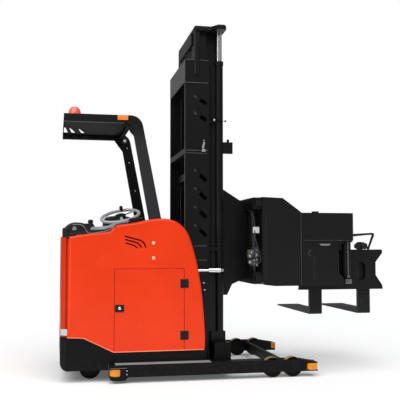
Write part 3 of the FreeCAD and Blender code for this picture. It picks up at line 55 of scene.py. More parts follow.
class Shape:
    """Points in millimetres with the quads and triangles that join them."""

    def __init__(self, points=(), quads=(), tris=()):
        self.points = np.asarray(points, float).reshape(-1, 3)
        self.quads = np.asarray(quads, int).reshape(-1, 4)
        self.tris = np.asarray(tris, int).reshape(-1, 3)

    def __add__(self, other):
        shift = len(self.points)
        return Shape(
            np.vstack((self.points, other.points)),
            np.vstack((self.quads, other.quads + shift)),
            np.vstack((self.tris, other.tris + shift)),
        )

    def moved(self, x=0.0, y=0.0, z=0.0):
        """The same shape a step away."""
        return Shape(self.points + (x, y, z), self.quads, self.tris)

    def mirrored(self):
        """The same shape on the other side of the truck."""
        return Shape(self.points * (1, -1, 1), self.quads, self.tris)

    def both_sides(self):
        """The shape and its mirror image as one."""
        return self + self.mirrored()

    def turned(self, axis, degrees, about=(0, 0, 0)):
        """Turned about a line along one axis: the other two coordinates go round by the angle."""
        a = math.radians(degrees)
        u, v = [i for i in range(3) if i != AXES[axis]]
        if axis == "Y":
            u, v = v, u
        spun = self.points - about
        out = spun.copy()
        out[:, u] = spun[:, u] * math.cos(a) - spun[:, v] * math.sin(a)
        out[:, v] = spun[:, u] * math.sin(a) + spun[:, v] * math.cos(a)
        return Shape(out + about, self.quads, self.tris)


def joined(shapes):
    """Many shapes as one."""
    return sum(shapes, Shape())


def skin(rings, closed=True):
    """Quads over a grid of points (row, column): each joins two rows and two columns that are neighbours."""
    rows, columns = rings.shape[:2]
    index = np.arange(rows * columns).reshape(rows, columns)
    after = np.roll(index, -1, axis=1)
    if not closed:
        index, after = index[:, :-1], after[:, :-1]
    return np.stack((index[:-1], after[:-1], after[1:], index[1:]), axis=-1).reshape(-1, 4)


def unit(vectors):
    """Vectors of length one: each divided by its own length."""
    return vectors / np.linalg.norm(vectors, axis=-1, keepdims=True)


def corner_arc(before, here, after, radius, steps):
    """An arc that touches both sides of a corner.

    Its centre is radius / sin(half angle) along the bisector, and its points swing evenly from
    one touching point to the other.
    """
    back, ahead = unit(before - here), unit(after - here)
    half = math.acos(np.clip(back @ ahead, -1, 1)) / 2
    centre = here + unit(back + ahead) * radius / math.sin(half)
    reach = radius / math.tan(half)
    first, last = here + back * reach - centre, here + ahead * reach - centre
    swing = math.pi - 2 * half
    t = np.linspace(0, 1, steps + 1)[:, None]
    return centre + (np.sin((1 - t) * swing) * first + np.sin(t * swing) * last) / math.sin(swing)


def rounded(corners, steps=CORNER_STEPS):
    """A closed outline from (u, v) or (u, v, radius) corners: each with a radius becomes an arc."""
    flat = np.array([corner[:2] for corner in corners], float)
    trios = zip(np.roll(flat, 1, axis=0), flat, np.roll(flat, -1, axis=0))
    radii = [corner[2] if len(corner) > 2 else 0.0 for corner in corners]
    return np.vstack([corner_arc(*trio, radius, steps) if radius else trio[1] for trio, radius in zip(trios, radii)])


def bent(points, radius):
    """An open path in space whose inner points become arcs."""
    points = np.array(points, float)
    trios = zip(points[:-2], points[1:-1], points[2:])
    return np.vstack([points[:1], *(corner_arc(*trio, radius, CORNER_STEPS) for trio in trios), points[-1:]])


def rectangle(low, high, radius=0.0):
    """An upright rectangle between two corners, with its corners rounded by the radius."""
    return rounded([(*low, radius), (high[0], low[1], radius), (*high, radius), (low[0], high[1], radius)])


def as_points(outline):
    """An outline as an array; a plain list of corners is rounded first."""
    return outline if isinstance(outline, np.ndarray) else rounded(outline)


def upright_line(y, *points):
    """Points (x, z) of an upright plane along the truck, a distance y from its middle."""
    return [(x, y, z) for x, z in points]


def circle(centre, radius, steps):
    """Points evenly round a circle."""
    angle = np.arange(steps) / steps * 2 * math.pi
    return np.array(centre) + radius * np.stack((np.cos(angle), np.sin(angle)), axis=1)


def stroke(path, width):
    """The outline of a round-ended line.

    The path is set off by half the width to both sides, and half circles of five points cap its ends.
    """
    path = np.array(path, float)
    way = unit(np.gradient(path, axis=0))
    side = np.stack((-way[:, 1], way[:, 0]), axis=1) * width / 2
    swing = np.linspace(0, math.pi, 7)[1:-1, None]
    end = path[-1] + side[-1] * np.cos(swing) + way[-1] * width / 2 * np.sin(swing)
    start = path[0] - side[0] * np.cos(swing) - way[0] * width / 2 * np.sin(swing)
    return np.vstack((path + side, end, (path - side)[::-1], start))


def inward(outline):
    """The mitre at each point of an outline: the step inwards that moves both its sides by one.

    It is the sum of both sides' normals over one plus their dot product, kept from growing without
    limit at a sharp corner.
    """
    area = np.cross(outline, np.roll(outline, -1, axis=0)).sum()
    way = unit(np.roll(outline, -1, axis=0) - outline)
    normal = np.stack((-way[:, 1], way[:, 0]), axis=1) * np.sign(area)
    before = np.roll(normal, 1, axis=0)
    return (before + normal) / np.maximum(1 + (before * normal).sum(axis=1), 1 / LONGEST_MITRE)[:, None]


def onto(plane, flat, height):
    """Flat (u, v) points at a height off the level plane (XY) or the upright one (XZ), in truck coordinates."""
    u, v = flat[..., 0], flat[..., 1]
    height = np.broadcast_to(height, u.shape)
    return np.stack((u, v, height) if plane == "XY" else (u, height, v), axis=-1)


def edge_rings(outline, low, high, low_edge, high_edge, steps, way=1):
    """The outline carried from low to high.

    For an angle a from 0 to a right angle it is drawn in by edge * (1 - sin a) at a depth of
    edge * (1 - cos a) from each face.
    """
    mitre = inward(outline)[None] * way
    a = np.linspace(0, math.pi / 2, steps + 1)[:, None]
    count = len(outline)
    low_edge = np.broadcast_to(low_edge, count)[None]
    high_edge = np.broadcast_to(high_edge, count)[None]
    inset = np.vstack(((1 - np.sin(a)) * low_edge, (1 - np.sin(a[::-1])) * high_edge))
    height = np.vstack((low + (1 - np.cos(a)) * low_edge, high - (1 - np.cos(a[::-1])) * high_edge))
    return outline[None] + inset[..., None] * mitre, height


def plate(outline, low, high, plane="XZ", edge=2.0, holes=(), steps=4):
    """A plate with rounded edges.

    The outline is carried from the low to the high face through rings that follow a quarter
    circle at each face; the first and last rings are filled in, less the holes, whose walls
    flare out in the same way by HOLE_EDGE. The edge is one radius, or a (low, high) pair of
    radii or of arrays with a radius for every point.
    """
    low_edge, high_edge = edge if isinstance(edge, tuple) else (edge, edge)
    outlines = [(as_points(outline), low_edge, high_edge, 1)]
    outlines += [(as_points(hole), HOLE_EDGE, HOLE_EDGE, -1) for hole in holes]
    shape = Shape()
    faces, loops = ([], []), ([], [])
    for points, lower, upper, way in outlines:
        flat, height = edge_rings(points, low, high, lower, upper, steps, way)
        rings = onto(plane, flat, height)
        start = len(shape.points)
        shape = shape + Shape(rings, skin(rings))
        rows, columns = rings.shape[:2]
        for end, row in enumerate((0, rows - 1)):
            loops[end].append([Vector((*p, 0)) for p in flat[row]])
            faces[end].append(start + row * columns + np.arange(columns))
    for end in (0, 1):
        index = np.concatenate(faces[end])
        shape.tris = np.vstack((shape.tris, index[np.array(tessellate_polygon(loops[end]))]))
    return shape


def sheet_along(path, thickness):
    """The closed outline of a bent sheet: an open path, and the same path set in by the thickness."""
    path = np.array(path, float)
    way = unit(np.diff(path, axis=0))
    normal = np.stack((-way[:, 1], way[:, 0]), axis=1)
    before, after = np.vstack((normal[:1], normal)), np.vstack((normal, normal[-1:]))
    mitre = (before + after) / (1 + (before * after).sum(axis=1))[:, None]
    return np.vstack((path, (path + mitre * thickness)[::-1]))


def lathe(profile, centre=(0, 0, 0), axis="Z", steps=48):
    """A turned part: every (radius, height) of the profile goes once round the axis."""
    profile = np.array(profile, float)
    angle = np.arange(steps) / steps * 2 * math.pi
    round_u = profile[:, :1] * np.cos(angle)
    round_v = profile[:, :1] * np.sin(angle)
    along = np.broadcast_to(profile[:, 1:], round_u.shape)
    order = {"Z": (round_u, round_v, along), "X": (along, round_u, round_v), "Y": (round_v, along, round_u)}
    rings = np.stack(order[axis], axis=-1) + np.array(centre, float)
    return Shape(rings, skin(rings))


def eased(outer, low, high, edge=1.5, steps=4, inner=0.0):
    """The (radius, height) profile of a round bar, or of a ring about an inner radius.

    For an angle a from 0 to a right angle an outer corner runs edge * (1 - sin a) inside the
    radius and edge * (1 - cos a) from the face.
    """
    a = np.linspace(0, math.pi / 2, steps + 1)
    rise, inset = edge * (1 - np.cos(a)), edge * (1 - np.sin(a))
    lower, upper = np.stack((outer - inset, low + rise), axis=1), np.stack((outer - inset, high - rise), axis=1)
    return np.vstack(([(inner, low)], lower, upper[::-1], [(inner, high)]))


def rod(axis, start, length, radius, edge=1.5):
    """A round bar with eased ends."""
    return lathe(eased(radius, 0, length, edge), start, axis, 32)


def sweep(path, section, up):
    """A section carried along a path: each of its points is path + side * a + lift * b.

    The side is square to the path and to the up direction, and the lift is square to both.
    """
    path, section = np.array(path, float), as_points(section)
    way = unit(np.gradient(path, axis=0))
    side = unit(np.cross(way, up))
    lift = np.cross(side, way)
    rings = path[:, None] + side[:, None] * section[:, :1] + lift[:, None] * section[:, 1:]
    middles = np.broadcast_to(rings.mean(axis=1, keepdims=True), rings.shape)
    rings = np.concatenate((middles[:1], rings, middles[-1:]))
    return Shape(rings, skin(rings))


def tube(path, radius, up=(0, 1, 0), steps=14):
    """A round bar or hose along a path."""
    return sweep(path, circle((0, 0), radius, steps), up)


def block(low, high, radius=3.0):
    """A box with rounded edges: the points of a ball, each eighth of it pushed out to its own corner.

    A point is the corner of the box drawn in by the radius, plus the radius times its direction.
    """
    low, high = np.array(low, float), np.array(high, float)
    count = 4
    quarter = np.linspace(0, math.pi / 2, count)
    turn = np.concatenate([quarter + k * math.pi / 2 for k in range(4)])
    rise = np.concatenate((quarter - math.pi / 2, quarter))
    sign_x = np.repeat((1, -1, -1, 1), count)
    sign_y = np.repeat((1, 1, -1, -1), count)
    sign_z = np.repeat((-1, 1), count)
    rise, turn = rise[:, None], turn[None]
    level = np.cos(rise)
    way = np.stack(np.broadcast_arrays(level * np.cos(turn), level * np.sin(turn), np.sin(rise)), axis=-1)
    sign = np.stack(np.broadcast_arrays(sign_x[None], sign_y[None], sign_z[:, None]), axis=-1)
    rings = (low + high) / 2 + sign * ((high - low) / 2 - radius) + way * radius
    corner = np.arange(4) * count
    last = (2 * count - 1) * 4 * count
    return Shape(rings, np.vstack((skin(rings), corner, corner + last)))


def blocks(*boxes):
    """Several boxes as one, each given by its low and high corner and its radius."""
    return joined(block(*box) for box in boxes)


def piece(name, shape, slot, *stands_for, body="chassis", finish=None, sharp=38):
    """Makes the shape an object that rides on a body and stands for CAD nodes.

    Its finish is the slot's own where none is named, and edges over sharp degrees stay sharp.
    """
    mesh = bpy.data.meshes.new(name)
    mesh.from_pydata(shape.points * MM, [], shape.quads.tolist() + shape.tris.tolist())
    work = bmesh.new()
    work.from_mesh(mesh)
    bmesh.ops.remove_doubles(work, verts=work.verts, dist=SAME_POINT)
    bmesh.ops.recalc_face_normals(work, faces=work.faces)
    work.to_mesh(mesh)
    work.free()
    mesh.shade_smooth()
    mesh.set_sharp_from_angle(angle=math.radians(sharp))
    mesh.materials.append(finish or SLOT_FINISH[slot])
    made = bpy.data.objects.new(name, mesh)
    bpy.context.scene.collection.objects.link(made)
    weighted = made.modifiers.new("even_shading", "WEIGHTED_NORMAL")
    weighted.keep_sharp = True
    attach(made, body)
    if stands_for:
        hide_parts(*stands_for)
    return made


# ---------------------------------------------------------------- finishes


EASED_EDGE = 0.002


class Value:
    """One socket of a finish; sums and products of values add the Math nodes that work them out."""

    def __init__(self, tree, socket):
        self.tree = tree
        self.socket = socket

    def math(self, operation, *others, flip=False):
        made = self.tree.nodes.new("ShaderNodeMath")
        made.operation = operation
        items = others + (self,) if flip else (self,) + others
        for entry, item in zip(made.inputs, items):
            if isinstance(item, Value):
                self.tree.links.new(item.socket, entry)
            else:
                entry.default_value = item
        return Value(self.tree, made.outputs[0])

    def __add__(self, other):
        return self.math("ADD", other)

    def __sub__(self, other):
        return self.math("SUBTRACT", other)

    def __rsub__(self, other):
        return self.math("SUBTRACT", other, flip=True)

    def __mul__(self, other):
        return self.math("MULTIPLY", other)

    __radd__ = __add__
    __rmul__ = __mul__


def scaled(tone, factor):
    """A colour with each of its three parts multiplied by the factor."""
    return tuple(part * factor for part in tone)


class Finish:
    """A Principled finish being built on Object coordinates."""

    def __init__(self, name, roughness, metallic=0.0, coat=0.0, specular=0.5, coat_roughness=0.08):
        self.material = bpy.data.materials.new(name)
        self.material.use_nodes = True
        self.tree = self.material.node_tree
        self.shader = self.tree.nodes["Principled BSDF"]
        for socket, number in (("Roughness", roughness), ("Metallic", metallic), ("Coat Weight", coat),
                               ("Specular IOR Level", specular), ("Coat Roughness", coat_roughness)):
            self.shader.inputs[socket].default_value = number
        self.place = self.node("TexCoord", output="Object")

    def node(self, kind, settings=None, sockets=None, output=0):
        """A node of a kind: its settings first, then the values or links of its sockets."""
        made = self.tree.nodes.new("ShaderNode" + kind)
        for key, item in (settings or {}).items():
            setattr(made, key, item)
        for key, item in (sockets or {}).items():
            if isinstance(item, Value):
                self.tree.links.new(item.socket, made.inputs[key])
            else:
                made.inputs[key].default_value = item
        return Value(self.tree, made.outputs[output])

    def feed(self, **values):
        """Links what varies over the surface to the shader, e.g. Base_Color=..."""
        for key, item in values.items():
            self.tree.links.new(item.socket, self.shader.inputs[key.replace("_", " ")])

    def noise(self, scale, detail=3.0, roughness=0.5, stretch=(1, 1, 1)):
        """Soft noise from 0 to 1, its grains 1 / scale metres across, drawn out along an axis by stretch."""
        place = self.node("Mapping", {"vector_type": "TEXTURE"}, {"Vector": self.place, "Scale": stretch})
        return self.node("TexNoise", {}, {"Vector": place, "Scale": scale, "Detail": detail, "Roughness": roughness})

    def height(self):
        """The height above the floor in metres."""
        return self.node("SeparateXYZ", {}, {"Vector": self.place}, "Z")

    def ramp(self, value, low, high, start=0.0, end=1.0):
        """The value eased from start at low to end at high."""
        return self.node("MapRange", {"interpolation_type": "SMOOTHSTEP"}, {
            "Value": value, "From Min": low, "From Max": high, "To Min": start, "To Max": end})

    def mix(self, factor, first, second):
        """One colour fading into another."""
        made = self.tree.nodes.new("ShaderNodeMix")
        made.data_type = "RGBA"
        for entry, item in zip((made.inputs[0], made.inputs[6], made.inputs[7]), (factor, first, second)):
            if isinstance(item, Value):
                self.tree.links.new(item.socket, entry)
            else:
                entry.default_value = (*item, 1) if isinstance(item, tuple) else item
        return Value(self.tree, made.outputs[2])

    def relief(self, height, distance, edge=0.0):
        """Bumps the normal by a height of up to distance metres, over edges eased by a radius."""
        sockets = {"Height": height, "Distance": distance, "Strength": 1.0}
        if edge:
            sockets["Normal"] = self.node("Bevel", {"samples": 4}, {"Radius": edge})
        self.feed(Normal=self.node("Bump", {}, sockets))


def paint(name, tone, dusty, roughness, specular, coat=0.0, peel=(420, 0.00012), dust_top=0.45, dust_share=0.5):
    """Sprayed paint: cloudy tone, fine peel, scuffs, and road dust that fades out upwards."""
    made = Finish(name, roughness, 0.0, coat, specular, 0.1)
    cloud = made.noise(2.2, 4, 0.6)
    speck = made.noise(38, 5, 0.65)
    fine = made.noise(peel[0], 2, 0.5)
    shade = made.mix(made.ramp(cloud, 0.3, 0.7), scaled(tone, 0.93), scaled(tone, 1.05))
    dust = made.ramp(made.height(), 0.05, dust_top, 1, 0) * made.ramp(speck, 0.42, 0.72) * dust_share
    scuff = made.ramp(made.noise(26, 8, 0.72, (1, 1, 0.25)), 0.62, 0.74, 0, 0.18)
    made.feed(
        Base_Color=made.mix(dust + scuff * 0.5, shade, dusty),
        Roughness=roughness + (cloud - 0.5) * 0.12 + dust * 0.3 + scuff * 0.4,
    )
    made.relief(fine + speck * 0.25, peel[1], EASED_EDGE)
    return made.material


def moulded(name, tone, roughness, grain=650, depth=0.00015, specular=0.25):
    """Moulded plastic or rubber: an even grain of small cells over a slightly cloudy tone."""
    made = Finish(name, roughness, 0.0, 0.0, specular)
    cloud = made.noise(5, 4, 0.6)
    cells = made.node("TexVoronoi", {"feature": "SMOOTH_F1"}, {"Vector": made.place, "Scale": grain}, "Distance")
    handled = made.ramp(made.noise(11, 5, 0.6), 0.5, 0.75)
    made.feed(
        Base_Color=made.mix(made.ramp(cloud, 0.3, 0.7), scaled(tone, 0.8), scaled(tone, 1.2)),
        Roughness=roughness + (cloud - 0.5) * 0.15 - handled * 0.08,
    )
    made.relief(cells, depth, EASED_EDGE)
    return made.material


def bare_metal(name, tone, roughness, stretch=(1, 1, 12), lines=260, depth=0.00004, stain_share=0.3):
    """Bare metal: fine lines from grinding or rolling, a patchy sheen and a little grime."""
    made = Finish(name, roughness, 1.0)
    line = made.noise(lines, 4, 0.6, stretch)
    patch = made.noise(9, 5, 0.65)
    grime = made.ramp(patch, 0.52, 0.78) * stain_share
    made.feed(
        Base_Color=made.mix(grime, made.mix(line, scaled(tone, 0.88), tone), (0.1, 0.08, 0.06)),
        Roughness=roughness + (line - 0.5) * 0.12 + grime * 0.5,
    )
    made.relief(line, depth, EASED_EDGE / 2)
    return made.material


def worn_black(name, tone, roughness):
    """Black enamel rubbed through to steel in long scratches."""
    made = Finish(name, roughness, 0.0, 0.0, 0.22)
    scratch = made.ramp(made.noise(70, 7, 0.75, (1, 9, 1)), 0.6, 0.68)
    cloud = made.noise(4, 4, 0.6)
    low = made.ramp(made.height(), 0.53, 0.58, 1, 0)
    bare = scratch * (0.2 + 0.3 * low)
    made.feed(
        Base_Color=made.mix(bare, made.mix(cloud, tone, scaled(tone, 1.5)), (0.34, 0.33, 0.32)),
        Metallic=bare,
        Roughness=roughness - bare * 0.15 + (cloud - 0.5) * 0.1,
    )
    made.relief(made.noise(300, 3, 0.5) - bare * 0.6, 0.0001, EASED_EDGE)
    return made.material


def lamp_lens(name, tone, glow):
    """Ribbed clear plastic, a little brighter inside its ribs."""
    made = Finish(name, 0.18, 0.0, 1.0, 0.5)
    ribs = made.node("TexWave", {"wave_type": "RINGS", "rings_direction": "Z"}, {
        "Vector": made.place, "Scale": 60.0, "Distortion": 0.5})
    made.feed(Base_Color=made.mix(ribs, scaled(tone, 0.7), tone))
    made.feed(Emission_Color=made.mix(ribs, scaled(tone, 0.5), tone))
    made.shader.inputs["Emission Strength"].default_value = glow
    made.relief(made.noise(120, 2, 0.5), 0.0002, EASED_EDGE / 2)
    return made.material


def roller_chain(name):
    """Oiled link plates, their rows cut across the chain every pitch."""
    made = Finish(name, 0.38, 1.0)
    pitch = made.node("TexWave", {"bands_direction": "Z"}, {"Vector": made.place, "Scale": 26.0})
    grime = made.ramp(made.noise(60, 4, 0.6), 0.4, 0.7)
    made.feed(
        Base_Color=made.mix(made.ramp(pitch, 0.3, 0.7) * 0.8 + grime * 0.2, (0.03, 0.028, 0.026), (0.3, 0.29, 0.27)),
        Roughness=0.3 + grime * 0.35,
    )
    made.relief(pitch, 0.002)
    return made.material


def hoop_paint(name):
    """The guard's black: a little blue and lighter on the post, near black along the roof, blended from 2.0 to 2.24 m
    up.
    """
    made = Finish(name, 0.42, specular=0.2)
    along = made.ramp(made.height(), 2.0, 2.24)
    speck = made.noise(60, 5, 0.6)
    post_tone = made.mix(speck, (0.017, 0.017, 0.019), (0.024, 0.024, 0.027))
    made.feed(Base_Color=made.mix(along, post_tone, (0.0035, 0.0035, 0.0035)), Roughness=0.4 + speck * 0.1)
    made.relief(made.noise(600, 2, 0.5), 0.00015, EASED_EDGE)
    return made.material


orange = paint("orange_enamel", (0.77, 0.0365, 0.0006), (0.62, 0.10, 0.03), 0.33, 0.25, coat=0.1,
               peel=(300, 0.00006), dust_top=0.5, dust_share=0.2)
# A darker copy of the orange: painted shade for the rear panel and for the gaps at its corners.
orange_painted_shade = paint("orange_enamel_painted_shade", (0.55, 0.026, 0.001), (0.4, 0.07, 0.02), 0.36, 0.25, coat=0.1,
                     peel=(300, 0.00006), dust_top=0.5, dust_share=0.2)
chassis_black = paint("chassis_powder_coat", (0.0026, 0.0026, 0.0027), (0.035, 0.032, 0.03), 0.46, 0.14,
                      peel=(700, 0.00018), dust_share=0.2)
mast_black = paint("mast_satin_black", (0.0036, 0.0036, 0.0041), (0.04, 0.038, 0.036), 0.36, 0.22,
                   peel=(500, 0.0001), dust_share=0.2)
head_black = paint("head_textured_black", (0.005, 0.005, 0.0055), (0.04, 0.038, 0.036), 0.4, 0.22,
                   peel=(620, 0.00025), dust_share=0.2)
cab_plastic = moulded("cab_plastic", (0.007, 0.007, 0.0075), 0.42)
grip_grey = moulded("steering_grip", (0.42, 0.43, 0.45), 0.35, grain=900, depth=0.00005)
pad_vinyl = moulded("pad_vinyl", (0.012, 0.012, 0.012), 0.5, grain=420, depth=0.0003)
tyre_rubber = moulded("tyre_rubber", (0.016, 0.016, 0.016), 0.7, grain=300, depth=0.0004)
wheel_tread = moulded("wheel_tread", (0.34, 0.24, 0.12), 0.45, grain=180, depth=0.0003)
roller_amber = moulded("roller_amber", (0.75, 0.27, 0.02), 0.35, grain=200, depth=0.0002)
chrome = bare_metal("hard_chrome", (0.78, 0.79, 0.8), 0.16, lines=120, depth=0.00001, stain_share=0.12)
zinc = bare_metal("zinc_plate", (0.62, 0.62, 0.6), 0.34, stretch=(1, 1, 1), lines=90, stain_share=0.25)
gear_metal = bare_metal("gear_housing", (0.22, 0.22, 0.22), 0.5, stretch=(1, 1, 1), lines=160, stain_share=0.5)
fork_black = worn_black("fork_black", (0.006, 0.006, 0.006), 0.45)
battery_grey = paint("battery_case_grey", (0.035, 0.036, 0.038), (0.1, 0.1, 0.1), 0.5, 0.4)
chain_steel = roller_chain("chain_steel")
lamp_amber = lamp_lens("lamp_amber", (0.93, 0.25, 0.02), 0.22)
beacon_red = lamp_lens("beacon_red", (0.93, 0.13, 0.075), 0.35)
cap_cream = moulded("bolt_cap_cream", (0.8, 0.55, 0.42), 0.35, grain=500, depth=0.00005)
trim_grey = moulded("trim_grey", (0.5, 0.5, 0.5), 0.3, grain=400, depth=0.00005)
# Dark red-brown for the sheet behind the vents: painted shade seen through them.
vent_shadow_red = moulded("vent_painted_shadow", (0.16, 0.008, 0.002), 0.6, grain=300, depth=0.0001)
# Pale orange for a thin strip along the sill: a painted highlight of light on the skin's lower lip.
sill_highlight_orange = moulded("sill_painted_highlight", (0.95, 0.24, 0.12), 0.3, grain=500, depth=0.00003)
# Grey for the small marks at the slots' upper ends: painted highlights.
slot_highlight_grey = paint("slot_end_painted_highlight", (0.03, 0.031, 0.033), (0.1, 0.1, 0.1), 0.35, 0.4, dust_share=0.1)
olive_grey = paint("valve_olive", (0.07, 0.072, 0.05), (0.12, 0.12, 0.1), 0.45, 0.4, dust_share=0.3)
label_white = moulded("blank_plate_white", (0.62, 0.63, 0.63), 0.4, grain=300, depth=0.00003)
hose_rubber = moulded("hose_rubber", (0.02, 0.02, 0.021), 0.5, grain=500, depth=0.0002)
# Light grey for thin plates on the legs' tops: painted sheen of the light falling on them.
leg_sheen_grey = paint("leg_top_painted_sheen", (0.3, 0.3, 0.3), (0.2, 0.19, 0.18), 0.5, 0.4, dust_share=0.2)
# Grey bare metal for the grease pipe and its bracket, also used for painted highlights along lit edges of the mast,
# legs and recess.
highlight_and_metal_grey = bare_metal("painted_highlight_and_bare_metal", (0.2, 0.2, 0.21), 0.45, lines=200, stain_share=0.2)
# Near black without sheen: painted shade in slots and round the clamp bolt.
shadow_black = moulded("painted_shadow_black", (0.0008, 0.0008, 0.0008), 0.9, specular=0.02)
# Grey for thin strips on the head's cover and on the cap bars: painted highlights of lit edges.
head_highlight_grey = paint("head_painted_highlight", (0.04, 0.042, 0.048), (0.06, 0.06, 0.06), 0.4, 0.3, dust_share=0.1)
post_black = hoop_paint("guard_post_black")
# Near black with almost no sheen for the roof: painted shade on its underside.
roof_shade_black = paint("roof_underside_painted_shade", (0.0008, 0.0008, 0.0009), (0.01, 0.01, 0.01), 0.5, 0.02, dust_share=0.05)
# Grey for the rear face of the outer mast's top band: painted sheen where it catches the light.
band_sheen_grey = paint("band_sheen_grey", (0.085, 0.086, 0.088), (0.15, 0.15, 0.15), 0.4, 0.3, dust_share=0.1)
tray_grey = moulded("tray_blue_grey", (0.25, 0.27, 0.29), 0.3, grain=400, depth=0.00005)
soft_grey = moulded("dull_grey", (0.2, 0.205, 0.2), 0.4, grain=400, depth=0.00005)

SLOT_FINISH = {
    "chassis_black": chassis_black, "body_orange": orange, "cab_plastic": cab_plastic, "pad_vinyl": pad_vinyl,
    "battery_case": battery_grey, "lamp_amber": lamp_amber, "mast_black": mast_black, "chrome_rod": chrome,
    "wheel_grey": grip_grey, "drive_metal": gear_metal, "tyre_black": tyre_rubber, "chain_steel": chain_steel,
    "head_black": head_black, "fork_steel": fork_black, "tread": wheel_tread, "roller_amber": roller_amber,
}
for cad_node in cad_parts.values():
    for holder in cad_node.material_slots:
        holder.material = SLOT_FINISH[holder.material.name]


# ---------------------------------------------------------------- orange body

# Half the width over the side skins, and how thick these are.
HALF, SKIN = 612.0, 50.0
# Places along the truck: its rear, the end of the right skin, the wall behind the mast, the rear
# of the hood sheet and of the left skin. The facet takes the corner off between the first two.
REAR, CORNER_X, WALL_X, HOOD_END, LEFT_END = -1497.0, -1447.0, -414.0, -880.0, -1088
FACET = 50.0
WING_INNER = 445.0
SILL_EDGE, DOOR_EDGE, SOFT_EDGE, REAR_EDGE = 8.0, 2.5, 24.0, 45.0
DOOR_REAR, DOOR_FRONT, DOOR_TOP, DOOR_GAP = -1047.0, -437.0, 957.0, 3.0
HINGE_FACE = -616
HINGES = (341, 788)
SILL = ((CORNER_X, 384), (-1307, 377), (DOOR_REAR, 250), (-255, 252))


def flowing(points, steps=5):
    """A curve through all the points: each span blends its four nearest by the Catmull-Rom cubic."""
    p = np.array(points, float)
    p = np.vstack((2 * p[0] - p[1], p, 2 * p[-1] - p[-2]))
    a, b, c, d = (q[:, None] for q in (p[:-3], p[1:-2], p[2:-1], p[3:]))
    t = np.linspace(0, 1, steps, endpoint=False)[None, :, None]
    spans = 0.5 * (2 * b + (c - a) * t + (2 * a - 5 * b + 4 * c - d) * t**2 + (3 * b - a - 3 * c + d) * t**3)
    return np.vstack((spans.reshape(-1, p.shape[1]), p[-2:-1]))


# The edge of the body from the toe up the front, over the hood and down to the rear corner.
PROFILE = flowing([
    (-254, 300), (-254, 380), (-256, 470), (-263, 572), (-272, 680), (-285, 790), (-301, 890), (-320, 990),
    (-341, 1075), (-362, 1150), (-386, 1222), (-414, 1280), (-450, 1324), (-500, 1362), (-566, 1386), (-637, 1393),
    (-710, 1388), (-790, 1374), (-880, 1354), (-960, 1343), (-1008, 1337), (-1040, 1325), (-1063, 1304),
    (-1086, 1286), (-1116, 1277), (-1176, 1270), (-1257, 1262), (-1340, 1250), (-1400, 1240),
], 4)


def sill_height(x):
    """The lower edge of the side skin at a place along the truck."""
    along, height = np.array(SILL).T
    return float(np.interp(x, along, height))


def skin_edges(outline):
    """How far each edge is rounded: little along the sill and the door, fully above, and most at the rear."""
    x, z = outline.T
    above = np.interp(z, (392, 450), (0, 1))
    rounding = SILL_EDGE + (SOFT_EDGE - SILL_EDGE) * above
    rounding = np.where(x < CORNER_X + 9, SILL_EDGE + (REAR_EDGE - SILL_EDGE) * above, rounding)
    at_door = (np.abs(x - DOOR_REAR) < 1) | (np.abs(x - DOOR_FRONT) < 1)
    return np.where(at_door, DOOR_EDGE, rounding)


def vent_strokes():
    """The three nested vent lines, which run forward and turn down."""
    lines = (
        [(-955, 1236), (-822, 1200), (-795, 1182), (-778, 1143)],
        [(-952, 1208), (-846, 1178), (-816, 1143)],
        [(-948, 1178), (-880, 1158), (-852, 1138)],
    )
    return [stroke(bent(upright_line(0, *line), 16)[:, ::2], 13) for line in lines]


def side_skins():
    """The two side skins; the right one reaches the rear corner and is open for the battery door."""
    rear_rise = [(CORNER_X, 384), (-1307, 377, 40)]
    door_hole = [(DOOR_REAR, sill_height(DOOR_REAR)), (DOOR_REAR, DOOR_TOP), (DOOR_FRONT, DOOR_TOP),
                 (DOOR_FRONT, sill_height(DOOR_FRONT))]
    toe = [(-255, 252, 12)]
    corner = [(CORNER_X, 1234, 26), (CORNER_X, 445)]
    right = rounded(rear_rise + door_hole + toe + [tuple(p) for p in PROFILE] + corner)
    near = plate(right, -HALF, -HALF + SKIN, edge=(skin_edges(right), 0.5), steps=7, holes=vent_strokes())
    short = [tuple(p) for p in PROFILE if p[0] > LEFT_END]
    left = rounded([(LEFT_END, 271), (DOOR_REAR, 250)] + toe + short + [(LEFT_END, 1284)])
    return near, plate(left, HALF - SKIN, HALF, edge=(0.5, skin_edges(left)), steps=7)


def hood_and_wings():
    """The hood sheet between the skins, and the wings that flank the mast."""
    inner = HALF - SKIN
    over = PROFILE[(PROFILE[:, 0] <= WALL_X) & (PROFILE[:, 0] >= HOOD_END)]
    hood = plate(sheet_along(np.vstack(([(WALL_X, 262)], over)), 6), -inner, inner, edge=0.5)
    nose = PROFILE[PROFILE[:, 0] > WALL_X]
    wing_outline = np.vstack(([(WALL_X, 254), (-256, 254)], nose, [(WALL_X, 1279)]))
    return hood + plate(wing_outline, -inner, -WING_INNER, edge=(0.5, 12.0)).both_sides()


def rear_shell():
    """The rear panel with the slanted facet at both its ends."""
    out, corner, front = HALF - 13, HALF - 2 - FACET, REAR + FACET - 11
    path = bent([(front, -out, 0), (REAR, -corner, 0), (REAR, corner, 0), (front, out, 0)], 26)
    return plate(sheet_along(path[::-1, :2], 6), 385, 1234, "XY", edge=(1.0, 2.5))


def battery_door():
    """The door slab, whose lower edge follows the sill."""
    rear, front, top = DOOR_REAR + DOOR_GAP, DOOR_FRONT - DOOR_GAP, DOOR_TOP - DOOR_GAP
    outline = [(rear, sill_height(rear) + 1, 3), (front, sill_height(front) + 1, 3), (front, top, 6), (rear, top, 6)]
    return plate(outline, -HALF, -HALF + 25, edge=(3.0, 1.0))


